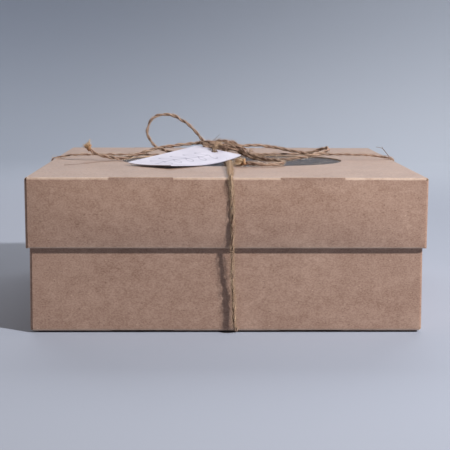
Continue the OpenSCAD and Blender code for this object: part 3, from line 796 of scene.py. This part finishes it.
def side_wall(tray, mirror, name):
    """Crease and wall, and at both ends the upright fold and the flap that the rolled wall traps.
    Seen from above, the sheet's line is a flap, a quarter circle, the wall, and the same again."""
    half = tray["d"] / 2 - tray["flap_y"] - tray["fold"]
    edge = tray["d"] / 2 - tray["crease"] - STRIP
    crease, fold, foot = tray["crease"], tray["fold"], tray["crease"] + LAYER_GAP
    y = np.unique(np.concatenate([np.linspace(-half, half, SIDE_ACROSS), [-edge, edge]]).round(7))
    z = np.concatenate([[crease], np.linspace(foot, tray["h"], UPWARDS)])

    def carried(y, profile):
        """The profile's points at every y, with the wall's bow."""
        along, inward, height = profiled(y, profile)
        out = tray["w"] / 2 - inward + bowed(tray, along / tray["d"], height)
        return np.stack([out, along, height], -1)

    grids = [carried(y, np.column_stack([0 * z, z])), carried(y, crease_bend(tray)),
             carried(y[np.abs(y) < edge + NEAR], np.array([[crease + STRIP, 0], [crease, 0]]))]
    turn = np.radians(np.linspace(-90, 0, QUARTER))
    angle, height = every_pair(turn, z[1:])
    corner = tray["w"] / 2 - fold
    fold_grid = np.stack([corner + fold * np.cos(angle), -half + fold * np.sin(angle), height], -1)
    flap_x = np.linspace(0, tray["flap"], FLAP_GRID[0])[::-1]
    bevel = np.clip(FLAP_BEVEL - (tray["flap"] - flap_x), 0, None)
    low, high = foot + bevel[:, None], tray["h"] - tray["roll"] - bevel[:, None]
    flap_grid = np.stack([
        np.broadcast_to((corner - flap_x)[:, None], FLAP_GRID), np.full(FLAP_GRID, -half - fold),
        low + (high - low) * np.linspace(0, 1, FLAP_GRID[1])], -1)
    grids += [fold_grid, flap_grid]
    grids += [grid[::-1] * (1, -1, 1) for grid in (fold_grid, flap_grid)]
    grids = [in_tray(tray, grid, mirror) for grid in grids]
    return sheet_piece(name, grids, tray["board"], flip=turned_over(tray, mirror))


# %% Panels
WINDOW_L, WINDOW_W, WINDOW_END_R = 132 * mm, 83 * mm, 36 * mm
WINDOW_X, WINDOW_Y = 5 * mm, 4 * mm
PANEL_DIP = 0.25 * mm


def oval(angle, a, b, r):
    """Distance from the middle to an oval of four arcs, in the direction of each angle: the two
    long arcs have their centres on the short axis, and the end arcs have radius r."""
    side_r = (a * a + b * b - 2 * a * r) / (2 * (b - r))
    c, s = np.abs(np.cos(angle)), np.abs(np.sin(angle))
    end = (a - r) * c + np.sqrt(np.maximum(r * r - ((a - r) * s) ** 2, 0))
    low = side_r - b
    long = -low * s + np.sqrt(side_r**2 - (low * c) ** 2)
    way = math.atan2(low, a - r)
    meet = math.atan2(r * math.sin(way), a - r + r * math.cos(way))
    return np.where(np.arctan2(s, c) < meet, end, long)


def rectangle_round(x0, x1, y0, y1, step):
    """Points round a rectangle's edge, counterclockwise from its first corner, corners included."""
    corners = np.array([[x0, y0], [x1, y0], [x1, y1], [x0, y1], [x0, y0]])
    sides = []
    for a, b in zip(corners[:-1], corners[1:]):
        t = np.linspace(0, 1, int(np.abs(b - a).max() / step) + 1, endpoint=False)[:, None]
        sides.append(a + t * (b - a))
    return np.vstack(sides)


def panel_half(tray):
    """Half the width and depth of a tray's panel, up to the strips that belong to its walls."""
    return [tray[k] / 2 - tray["crease"] - STRIP for k in ("w", "d")]


def lid_panel():
    """Rings that go from the oval window out to the panel's edge, each a mix of the two."""
    x1, y1 = panel_half(lid)
    outline = rectangle_round(-x1, x1, -y1, y1, 2.5 * mm)
    angle = np.arctan2(outline[:, 1] - WINDOW_Y, outline[:, 0] - WINDOW_X)
    hole = oval(angle, WINDOW_L / 2, WINDOW_W / 2, WINDOW_END_R)[:, None]
    hole = hole * np.column_stack([np.cos(angle), np.sin(angle)]) + [WINDOW_X, WINDOW_Y]
    share = (np.linspace(0, 1, 13) ** 1.3)[:, None, None]
    flat = (1 - share) * hole + share * outline
    dip = PANEL_DIP * np.cos(np.pi * flat[..., 0] / lid["w"]) * np.cos(np.pi * flat[..., 1] / lid["d"])
    grid = in_tray(lid, np.concatenate([flat, dip[..., None]], -1))
    return sheet_piece("lid_top_board", [grid], lid["board"], closed=True)


def base_panel():
    """A plain grid between the base's creases."""
    x1, y1 = panel_half(base)
    x, y = every_pair(np.linspace(-x1, x1, 21), np.linspace(-y1, y1, 21))
    grid = in_tray(base, np.stack([x, y, np.zeros_like(x)], -1))
    return sheet_piece("base_bottom_board", [grid], base["board"], flip=True)


board_pieces = []
for tray in (lid, base):
    body = tray["name"]
    for side, mirror in (("front", (1, 1)), ("rear", (1, -1))):
        piece = rolled_wall(tray, mirror, f"{body}_{side}_board")
        nodes = f"{body}_{side}_wall", f"{body}_{side}_inner_wall"
        board_pieces.append(dress(piece, body, "kraft_board", *nodes))
    for side, mirror in (("right", (1, 1)), ("left", (-1, 1))):
        piece = side_wall(tray, mirror, f"{body}_{side}_board")
        nodes = f"{body}_{side}_wall", f"{body}_front_{side}_flap", f"{body}_rear_{side}_flap"
        board_pieces.append(dress(piece, body, "kraft_board", *nodes))
board_pieces.append(dress(lid_panel(), "lid", "kraft_board", "lid_top_panel"))
board_pieces.append(dress(base_panel(), "base", "kraft_board", "base_bottom_panel"))
print("board pieces:", len(board_pieces), "faces:", sum(len(p.data.polygons) for p in board_pieces))

# %% [markdown]
# ## The window's film
# Clear film is glued under the lid's oval window. It is never quite flat, and at a low
# angle its waves break up what it mirrors, which is how the eye tells film from glass. So it
# is a fine grid with three crossing ripples, not a flat pane.

# %% Film
FILM_T, FILM_MARGIN, FILM_WAVE = 0.1 * mm, 9 * mm, 0.22 * mm


def film_points():
    """A square grid pressed into a disc, by x * sqrt(1 - y * y / 2), and the disc stretched to the oval."""
    u, v = every_pair(np.linspace(-1, 1, 121), np.linspace(-1, 1, 91))
    x, y = u * np.sqrt(1 - v * v / 2), v * np.sqrt(1 - u * u / 2)
    size = np.hypot(x, y)
    angle = np.arctan2(y, x)
    r = size * oval(angle, *(edge + FILM_MARGIN for edge in (WINDOW_L / 2, WINDOW_W / 2, WINDOW_END_R)))
    px, py = r * np.cos(angle), r * np.sin(angle)
    ripple = (np.sin(px / (9 * mm) + 2.2 * np.sin(py / (21 * mm)))
              + 0.7 * np.sin(py / (5.5 * mm) + px / (30 * mm) + 1.3)
              + 0.5 * np.sin(px / (4.1 * mm) - py / (13 * mm) + 0.6))
    free = np.clip((0.86 - size) / 0.3, 0, 1)
    drop = lid["board"] + FILM_WAVE * free * (1 + 0.45 * ripple)
    return in_tray(lid, np.stack([px + WINDOW_X, py + WINDOW_Y, drop], -1))


film = sheet_piece("window_film_sheet", [film_points()], FILM_T)
dress(film, "lid", "clear_film", "window_film")
print("film:", len(film.data.polygons), "faces")

# %% [markdown]
# ## The tag
# The tag is stiff paper that curled: it sags between its ends, and one long edge tips
# down more than the other. It is a patch stretched between its four corners, with the sag
# added, and the hole for its tie is left out of the grid.

# %% Tag
TAG_L, TAG_W, TAG_T = 58 * mm, 34 * mm, 0.4 * mm
TAG_SAG, TAG_DROOP = 2.4 * mm, 0.75 * mm
HOLE_R, HOLE_X = 2 * mm, 3.7 * mm
# Corners: two at the tied end, then two at the free end, each pair rear first
TAG_CORNERS = on_top([[-15.9, 8, 8.4], [9.9, -15, 4.6], [-55, -34, 1.9], [-29.8, -55, 2.0]])


def on_tag(u, v):
    """Point of the tag u along it from the tied end and v across from its middle, both in metres:
    a mix of the four corners, pulled down by a sine arch that grows towards the front edge, and
    at the free end by an arch across the tag."""
    s, t = np.asarray(u)[..., None] / TAG_L, np.asarray(v)[..., None] / TAG_W + 0.5
    a, b, c, d = TAG_CORNERS
    point = (1 - s) * ((1 - t) * a + t * b) + s * ((1 - t) * c + t * d)
    sag = TAG_SAG * np.sin(np.pi * s**0.85) * (0.05 + 0.95 * t) + TAG_DROOP * s**3 * np.sin(np.pi * t**0.6)
    return point - sag * np.array([0, 0, 1.0])


def tag_points():
    """Rings from the hole out to the tag's edge, flat: along the tag and across it."""
    outline = rectangle_round(0, TAG_L, -TAG_W / 2, TAG_W / 2, 1.2 * mm)
    from_hole = outline - [HOLE_X, 0]
    angle = np.arctan2(from_hole[:, 1], from_hole[:, 0])
    hole = HOLE_R * np.column_stack([np.cos(angle), np.sin(angle)]) + [HOLE_X, 0]
    share = (np.linspace(0, 1, 25) ** 1.5)[:, None, None]
    return (1 - share) * hole + share * outline


flat = tag_points()
tag_uv = flat.reshape(-1, 2) / [TAG_L, TAG_W] + [0, 0.5]
tag = sheet_piece("paper_tag", [on_tag(flat[..., 0], flat[..., 1])], TAG_T, closed=True, uv=tag_uv)
dress(tag, "tag", "tag_paper", "gift_tag")
print("tag:", len(tag.data.polygons), "faces")

# %% [markdown]
# ## The tag's tie
# The tag hangs on a short piece of the same twine, which comes out of the knot, goes over the
# tag's edge and down through the hole. It is an arc round a point near the knot, and it is
# hairier than the rest because its end is cut.

# %% Tie through the tag's hole
TIE_CENTRE = on_top([[-3, -2.5, 6.5]])[0]
TIE_TURN = math.radians(227)


def tie_line():
    """An arc round the tag's end, from the knot over its edge and down through the hole."""
    a = np.radians(np.linspace(-60, 165, 30))[:, None]
    toward = np.array([math.cos(TIE_TURN), math.sin(TIE_TURN), 0])
    return TIE_CENTRE + HOLE_X * (np.cos(a) * toward + np.sin(a) * np.array([0, 0, 1]))


tie = twine_piece("tag_tie_twine", smooth(tie_line(), FINE_STEP), 70, hairs=6, long=4 * mm, peeled=4,
                  swell=0.8 * mm, diameter=1.6 * mm)
twine_pieces.append(dress(tie, "lid", "jute_twine", "tag_tie"))

# %% [markdown]
# ## Materials
# Every material is worked out from where a point lies, not from a picture. A short helper
# makes a node and joins its inputs, so a material reads like a list of what it is made of.

# %% Node helpers


def srgb(*levels):
    """A colour given as it looks on a screen, 0 to 255, as the linear values a shader takes."""
    c = np.array(levels, float) / 255
    return (*np.where(c < 0.04045, c / 12.92, ((c + 0.055) / 1.055) ** 2.4).tolist(), 1.0)


def join(tree, value, socket):
    """Feed a node's input with a value or with the output of another node."""
    if isinstance(value, bpy.types.NodeSocket):
        tree.links.new(value, socket)
    else:
        socket.default_value = value


def node(tree, kind, inputs=None, **settings):
    """New node with its settings; each input is a value or the output of another node."""
    made = tree.nodes.new(kind)
    for key, value in settings.items():
        setattr(made, key, value)
    for key, value in (inputs or {}).items():
        join(tree, value, made.inputs[key])
    return made


def calc(tree, operation, *values):
    """Output of a Math node."""
    return node(tree, "ShaderNodeMath", dict(enumerate(values)), operation=operation).outputs[0]


def times(tree, first, *others):
    """Product of two or more values."""
    for other in others:
        first = calc(tree, "MULTIPLY", first, other)
    return first


def ramp(tree, value, low, high, start=0.0, end=1.0):
    """Output that goes from start to end, smoothly, as value goes from low to high."""
    made = node(tree, "ShaderNodeMapRange", {"Value": value, "From Min": low, "From Max": high,
                "To Min": start, "To Max": end}, interpolation_type="SMOOTHSTEP")
    return made.outputs["Result"]


def blend(tree, share, first, second):
    """Output of a colour mix."""
    made = node(tree, "ShaderNodeMix", {0: share}, data_type="RGBA")
    join(tree, first, made.inputs[6])
    join(tree, second, made.inputs[7])
    return made.outputs[2]


def where(tree):
    """Place of a point on its object, the same at rest and in every pose."""
    return node(tree, "ShaderNodeTexCoord").outputs["Object"]


def noise(tree, vector, scale, detail=2.0, rough=0.5):
    """Grey output of a noise texture, around a half; scale is per metre."""
    settings = {"Vector": vector, "Scale": scale, "Detail": detail, "Roughness": rough}
    return node(tree, "ShaderNodeTexNoise", settings).outputs["Fac"]


def stretched(tree, vector, *by):
    """The vector multiplied along each axis."""
    return node(tree, "ShaderNodeVectorMath", {0: vector, 1: by}, operation="MULTIPLY").outputs[0]


def axes(tree, vector):
    """X, Y and Z of a vector as three outputs."""
    return node(tree, "ShaderNodeSeparateXYZ", {"Vector": vector}).outputs


def bumped(tree, height, distance, shader):
    """Let a height change the shader's normal."""
    lumps = node(tree, "ShaderNodeBump", {"Height": height, "Distance": distance})
    tree.links.new(lumps.outputs["Normal"], shader.inputs["Normal"])


def new_group(name, inputs, outputs):
    """Empty node group with named inputs and outputs, each a Color or a Float. Returns its tree,
    the sockets that bring its inputs and those that take its outputs."""
    group = bpy.data.node_groups.new(name, "ShaderNodeTree")
    for way, sockets in (("INPUT", inputs), ("OUTPUT", outputs)):
        for label, kind in sockets.items():
            group.interface.new_socket(label, in_out=way, socket_type="NodeSocket" + kind)
    return group, group.nodes.new("NodeGroupInput").outputs, group.nodes.new("NodeGroupOutput").inputs


def material(name, group=None, bump=0.0, given=None, **values):
    """Principled material; the group's outputs feed its colour, roughness and bump."""
    made = bpy.data.materials.new(name)
    made.use_nodes = True
    tree = made.node_tree
    shader = tree.nodes["Principled BSDF"]
    for key, value in values.items():
        shader.inputs[key.replace("_", " ")].default_value = value
    if group is not None:
        source = node(tree, "ShaderNodeGroup", given, node_tree=group).outputs
        for label, key in (("Color", "Base Color"), ("Rough", "Roughness")):
            if label in source:
                tree.links.new(source[label], shader.inputs[key])
        bumped(tree, source["Height"], bump, shader)
    return made


# %% [markdown]
# ## Kraft board
# Kraft board is unbleached pulp, so its colour comes from fibres of many browns pressed flat.
# Fine noise gives the grain, a slow noise the clouds, and stretched cells the few dark fibres.
# The board's skin cracks where it is creased, so it is paler there, and the same paler colour is also a
# painted highlight for the light that the rounded crease catches. On a crease the normal leans both up and
# sideways, which the product of those two parts finds. The faces and the raw edges are the same pulp, so
# both use one node group with colours of their own.

# %% Kraft board
# Crease colour: partly wear of the board's skin, partly a painted highlight
CREASE_WEAR_AND_HIGHLIGHT = srgb(206, 181, 162)
# Each kind of fibre: stretch, cells per metre, share of the cells, width, strength and colour;
# a strength of None is the group's own
FIBRES = (((0.35, 0.35, 1.3), 900, 0.14, 0.3, None, srgb(84, 58, 42)),
          ((1.2, 1.2, 0.4), 760, 0.1, 0.26, None, srgb(96, 66, 48)),
          ((0.5, 1.0, 1.1), 900, 0.04, 0.24, 0.5, srgb(214, 184, 158)))


def fibre_spots(tree, vector, scale, share, width):
    """Mask of short fibres: cells of a stretched pattern, of which only a share is used."""
    cells = node(tree, "ShaderNodeTexVoronoi", {"Vector": vector, "Scale": scale}).outputs
    parts = node(tree, "ShaderNodeSeparateColor", {"Color": cells["Color"]}).outputs
    spot = ramp(tree, cells["Distance"], width, width * 0.4)
    return times(tree, spot, calc(tree, "LESS_THAN", parts["Red"], share))


def kraft_group():
    """Grain, clouds, fibres, and creases made paler, partly for wear and partly as a painted highlight. Dark
    and Light are the two ends of the grain.
    """
    tree, given, out = new_group("kraft", {"Dark": "Color", "Light": "Color", "Fibres": "Float"},
                                 {"Color": "Color", "Rough": "Float", "Height": "Float"})
    at = where(tree)
    pressed = stretched(tree, at, 0.85, 0.85, 1.2)
    grain = noise(tree, pressed, 160, detail=5, rough=0.75)
    clouds = calc(tree, "MULTIPLY_ADD", noise(tree, at, 38, detail=4, rough=0.6), 0.65, 0.175)
    fine = noise(tree, pressed, 1300)
    level = calc(tree, "ADD", ramp(tree, grain, 0.14, 0.86, -0.28, 0.28), clouds)
    level = calc(tree, "ADD", level, ramp(tree, fine, 0.3, 0.7, -0.26, 0.26))
    colour = blend(tree, level, given["Dark"], given["Light"])
    for stretch, scale, share, width, strength, tint in FIBRES:
        spots = fibre_spots(tree, stretched(tree, at, *stretch), scale, share, width)
        colour = blend(tree, times(tree, spots, strength or given["Fibres"]), colour, tint)
    up = calc(tree, "ABSOLUTE", axes(tree, node(tree, "ShaderNodeTexCoord").outputs["Normal"])["Z"])
    up = times(tree, up, up)
    crease = times(tree, up, calc(tree, "SUBTRACT", 1.0, up))
    # Creases paler: partly wear, partly a painted highlight where the rounded crease catches the light
    wear_and_highlight = times(tree, ramp(tree, crease, 0.01, 0.12), ramp(tree, grain, 0.3, 0.6, 0.35, 0.65))
    tree.links.new(blend(tree, wear_and_highlight, colour, CREASE_WEAR_AND_HIGHLIGHT), out["Color"])
    tree.links.new(ramp(tree, grain, 0.3, 0.7, 0.38, 0.48), out["Rough"])
    tree.links.new(grain, out["Height"])
    return tree


pulp = kraft_group()
kraft = material("kraft", pulp, 0.06 * mm, {
    "Dark": srgb(137, 105, 88), "Light": srgb(177, 146, 128), "Fibres": 0.45})
kraft_edge = material("kraft_edge", pulp, 0.2 * mm, {
    "Dark": srgb(160, 128, 104), "Light": srgb(204, 174, 148), "Fibres": 0.2})
for piece in board_pieces:
    piece.data.materials[0] = kraft
    piece.data.materials[1] = kraft_edge
print("kraft board:", len(pulp.nodes), "nodes on", len(board_pieces), "pieces")

# %% [markdown]
# ## Jute
# The fibres of jute run along each ply, so the noise is stretched along the twine by means of the UV map. A
# point that faces another ply lies in one of the grooves between the plies, where shade is painted in dark.
# Loose hairs have their own place in the UV map and take a pale colour of their own. One node group serves
# the plain twine; the front stretch and the tie, which are painted darker as shade and painted lighter where
# they face up, as if lit from above; and the golden frayed ends.

# %% Jute
JUTE_BUMP = 0.12 * mm
RUSTY = srgb(138, 98, 84)
# Each finish: colours of the painted shade in the grooves, dark fibre, light fibre and loose hair, how much
# painted top light the twine takes where it faces up, and the roughness
JUTE = {
    "jute": ((68, 49, 39), (116, 89, 72), (192, 161, 139), (208, 182, 160), 0.0, 0.85),
    "jute_shaded": ((64, 46, 33), (106, 81, 62), (178, 148, 121), (192, 165, 137), 1.3, 0.85),
    "frayed_jute": ((112, 80, 56), (156, 114, 80), (192, 152, 112), (206, 174, 138), 0.0, 0.8)}
# The front stretch and the tie wear jute_shaded: the same twine painted darker, as shade
JUTE_OF = {"front_twine": "jute_shaded", "tag_tie_twine": "jute_shaded",
           "left_tail_frayed_knot": "frayed_jute", "right_tail_frayed_knot": "frayed_jute"}


def jute_group():
    """Stripes along the twine, rusty patches, painted shade in the grooves between its plies, painted top
    light and paler hairs.
    """
    tree, given, out = new_group(
        "jute", {"Groove_shade": "Color", "Dark": "Color", "Light": "Color", "Hair": "Color", "Painted_top_light": "Float"},
        {"Color": "Color", "Height": "Float"})
    place = node(tree, "ShaderNodeUVMap", uv_map="place").outputs["UV"]
    v = axes(tree, place)["Y"]
    at = where(tree)
    stripes = noise(tree, stretched(tree, place, 0.9, 9, 1), 1.6, detail=3, rough=0.65)
    patches = calc(tree, "MULTIPLY_ADD", noise(tree, at, 130), 1.1, -0.55)
    level = calc(tree, "ADD", ramp(tree, stripes, 0.32, 0.68), patches)
    # Painted top light: the twine is made lighter where its normal points up, as if lit from above
    facing = axes(tree, node(tree, "ShaderNodeTexCoord").outputs["Normal"])["Z"]
    level = calc(tree, "ADD", level, ramp(tree, facing, 0.1, 0.7, 0.0, given["Painted_top_light"]))
    colour = blend(tree, level, given["Dark"], given["Light"])
    rust = ramp(tree, noise(tree, at, 210), 0.45, 0.7, 0.0, 0.35)
    colour = blend(tree, rust, colour, RUSTY)
    # Painted shade in the grooves, where a ply faces the other ply
    painted_groove_shade = ramp(tree, calc(tree, "FRACT", v), 0.52, 0.13)
    colour = blend(tree, painted_groove_shade, colour, given["Groove_shade"])
    pale = blend(tree, ramp(tree, noise(tree, at, 300), 0.35, 0.6), given["Light"], given["Hair"])
    loose = calc(tree, "GREATER_THAN", v, HAIR_UV - 1)
    tree.links.new(blend(tree, loose, colour, pale), out["Color"])
    tree.links.new(stripes, out["Height"])
    return tree


jute_fibres = jute_group()
jute = {}
for name, (*tints, top_light_share, rough) in JUTE.items():
    given = dict(zip(("Groove_shade", "Dark", "Light", "Hair"), (srgb(*tint) for tint in tints)), Painted_top_light=top_light_share)
    jute[name] = material(name, jute_fibres, JUTE_BUMP, given, Roughness=rough)
for piece in twine_pieces:
    piece.data.materials.append(jute[JUTE_OF.get(piece.name, "jute")])
print("jute:", len(jute), "finishes on", len(twine_pieces), "pieces")

# %% [markdown]
# ## Tag paper
# The tag is smooth white paper with a faint grain. A printed sprig, drawn by a formula from
# the UV map, stands for the decoration that such tags carry.

# %% Tag paper
STEM_V, STEM_SWING, STEM_WAVE = 0.5, 0.07, 7
LEAF_COUNT, LEAF_OUT, LEAF_HALF_L, LEAF_HALF_W, LEAF_LEAN = 7, 0.13, 0.2, 0.12, 1.6
INK, INK_SHARE = srgb(104, 99, 124), 0.7


def paper_group():
    """White paper with a thin grey sprig: a wavy stem, and leaves as the outlines of ellipses."""
    tree, _, out = new_group("tag_paper", {}, {"Color": "Color", "Height": "Float"})
    at = where(tree)
    place = axes(tree, node(tree, "ShaderNodeUVMap", uv_map="place").outputs["UV"])
    u, v = place["X"], place["Y"]
    wave = calc(tree, "SINE", times(tree, u, STEM_WAVE))
    stem = calc(tree, "MULTIPLY_ADD", wave, STEM_SWING, STEM_V)
    off = calc(tree, "ABSOLUTE", calc(tree, "SUBTRACT", v, stem))
    line = ramp(tree, off, 0.014, 0.006)
    cell = calc(tree, "SUBTRACT", calc(tree, "FRACT", times(tree, u, LEAF_COUNT)), 0.5)
    across = calc(tree, "SUBTRACT", off, LEAF_OUT)
    along = calc(tree, "SUBTRACT", cell, times(tree, across, LEAF_LEAN))
    size = calc(tree, "ADD", *(calc(tree, "POWER", calc(tree, "DIVIDE", way, half), 2)
                               for way, half in ((along, LEAF_HALF_L), (across, LEAF_HALF_W))))
    leaf = ramp(tree, calc(tree, "ABSOLUTE", calc(tree, "SUBTRACT", size, 1)), 0.34, 0.12)
    inside = times(tree, calc(tree, "GREATER_THAN", u, 0.2), calc(tree, "LESS_THAN", u, 0.9))
    ink = times(tree, calc(tree, "MAXIMUM", line, leaf), inside, INK_SHARE)
    clouds = ramp(tree, noise(tree, at, 60, detail=3), 0.3, 0.7)
    paper = blend(tree, clouds, srgb(185, 180, 194), srgb(200, 194, 207))
    tree.links.new(blend(tree, ink, paper, INK), out["Color"])
    tree.links.new(noise(tree, at, 500, detail=4, rough=0.6), out["Height"])
    return tree


paper = material("tag_paper", paper_group(), 0.03 * mm, Roughness=0.6)
tag.data.materials[0] = tag.data.materials[1] = paper
print("tag paper:", LEAF_COUNT, "leaves")

# %% [markdown]
# ## Film
# The film is clear plastic with a slight warm haze. It takes plain transmission, an alpha that
# lets the inside show, and small creases in its surface that break up what it mirrors.

# %% Film material
clear = material("film", Base_Color=srgb(232, 196, 160), Roughness=0.04, Transmission_Weight=0.85,
                 IOR=1.3, Alpha=0.31)
tree = clear.node_tree
crinkle = noise(tree, stretched(tree, where(tree), 0.5, 1, 1), 90, detail=3, rough=0.6)
bumped(tree, crinkle, 0.25 * mm, tree.nodes["Principled BSDF"])
film.data.materials[0] = film.data.materials[1] = clear
print("film: alpha %.2f" % tree.nodes["Principled BSDF"].inputs["Alpha"].default_value)

# %% [markdown]
# ## The room
# The box stands on a pale sweep of paper: a floor that turns up into a wall all round. A
# small lamp from the front right gives the crisp shadows, and wide ones behind and left fill them.

# %% Stage
STAGE_FLAT, STAGE_BEND, STAGE_TALL = 0.95, 0.45, 0.6
STAGE_SIDES = 96


def round_stage():
    """A floor that turns up into a wall all round: a flat disc, a quarter circle and a wall."""
    a = np.radians(np.linspace(0, 90, 16))
    disc, wall = np.linspace(0.001, STAGE_FLAT, 8), STAGE_FLAT + STAGE_BEND
    r = np.concatenate([disc, STAGE_FLAT + STAGE_BEND * np.sin(a)[1:], [wall, wall]])
    rise = STAGE_BEND * (1 - np.cos(a))[1:]
    z = np.concatenate([0 * disc, rise, [(STAGE_BEND + STAGE_TALL) / 2, STAGE_TALL]])
    turn = np.linspace(0, 2 * np.pi, STAGE_SIDES, endpoint=False)
    grid = np.stack([r[:, None] * np.cos(turn), r[:, None] * np.sin(turn), z[:, None] + 0 * turn], -1)
    return new_piece("stage", grid.reshape(-1, 3), [grid_faces(len(r), STAGE_SIDES, closed=True)])


def stage_material():
    """Pale blue grey with painted light falloff: the wall darker towards its left and its top; and the floor
    darker close to the lens, so less light bounces onto the box's front.
    """
    made = material("stage", Roughness=0.9)
    tree = made.node_tree
    place = axes(tree, where(tree))
    # Painted light falloff on the wall: darker to the left and towards the top
    aside = ramp(tree, place["X"], -0.5, 0.5)
    low = blend(tree, aside, srgb(154, 160, 173), srgb(190, 195, 206))
    top = blend(tree, aside, srgb(139, 146, 161), srgb(179, 185, 197))
    wall = blend(tree, ramp(tree, place["Z"], 0.0, 0.25), low, top)
    near = ramp(tree, place["Y"], -0.9, -0.1)
    floor = blend(tree, near, srgb(112, 106, 100), srgb(159, 163, 176))
    colour = blend(tree, ramp(tree, place["Y"], 0.3, 1.0), floor, wall)
    tree.links.new(colour, tree.nodes["Principled BSDF"].inputs["Base Color"])
    return made


stage = round_stage()
stage.data.materials.append(stage_material())
print("stage:", len(stage.data.polygons), "faces")

# %% Lights


def softbox(name, place, aim, size, power, colour):
    """Rectangular area lamp at a place, turned towards what it aims at."""
    light = bpy.data.lights.new(name, "AREA")
    light.shape = "RECTANGLE"
    light.size, light.size_y = size
    light.energy = power
    light.color = colour
    z = np.array(place, float) - np.array(aim, float)
    z /= np.linalg.norm(z)
    x = np.cross([0, 0, 1], z)
    x /= np.linalg.norm(x)
    linked(name, light).matrix_world = placed(np.column_stack([x, np.cross(z, x), z]), place)
    print(f"{name} lamp: {power} W")


softbox("key", place=(0.75, -0.62, 0.75), aim=(0, 0, 0.04), size=(0.07, 0.07), power=19.7,
        colour=(0.98, 1.0, 1.02))
softbox("top", place=(0.0, 0.9, 0.85), aim=(0, 0, 0.04), size=(1.5, 0.6), power=10,
        colour=(0.94, 0.97, 1.0))
softbox("left", place=(-1.1, -0.1, 0.35), aim=(0, 0, 0.05), size=(0.5, 0.5), power=1.6,
        colour=(1.0, 0.95, 0.9))
world = bpy.data.worlds.new("room")
bpy.context.scene.world = world
world.use_nodes = True
room = world.node_tree.nodes["Background"].inputs
room["Color"].default_value = srgb(224, 205, 184)
room["Strength"].default_value = 0.1
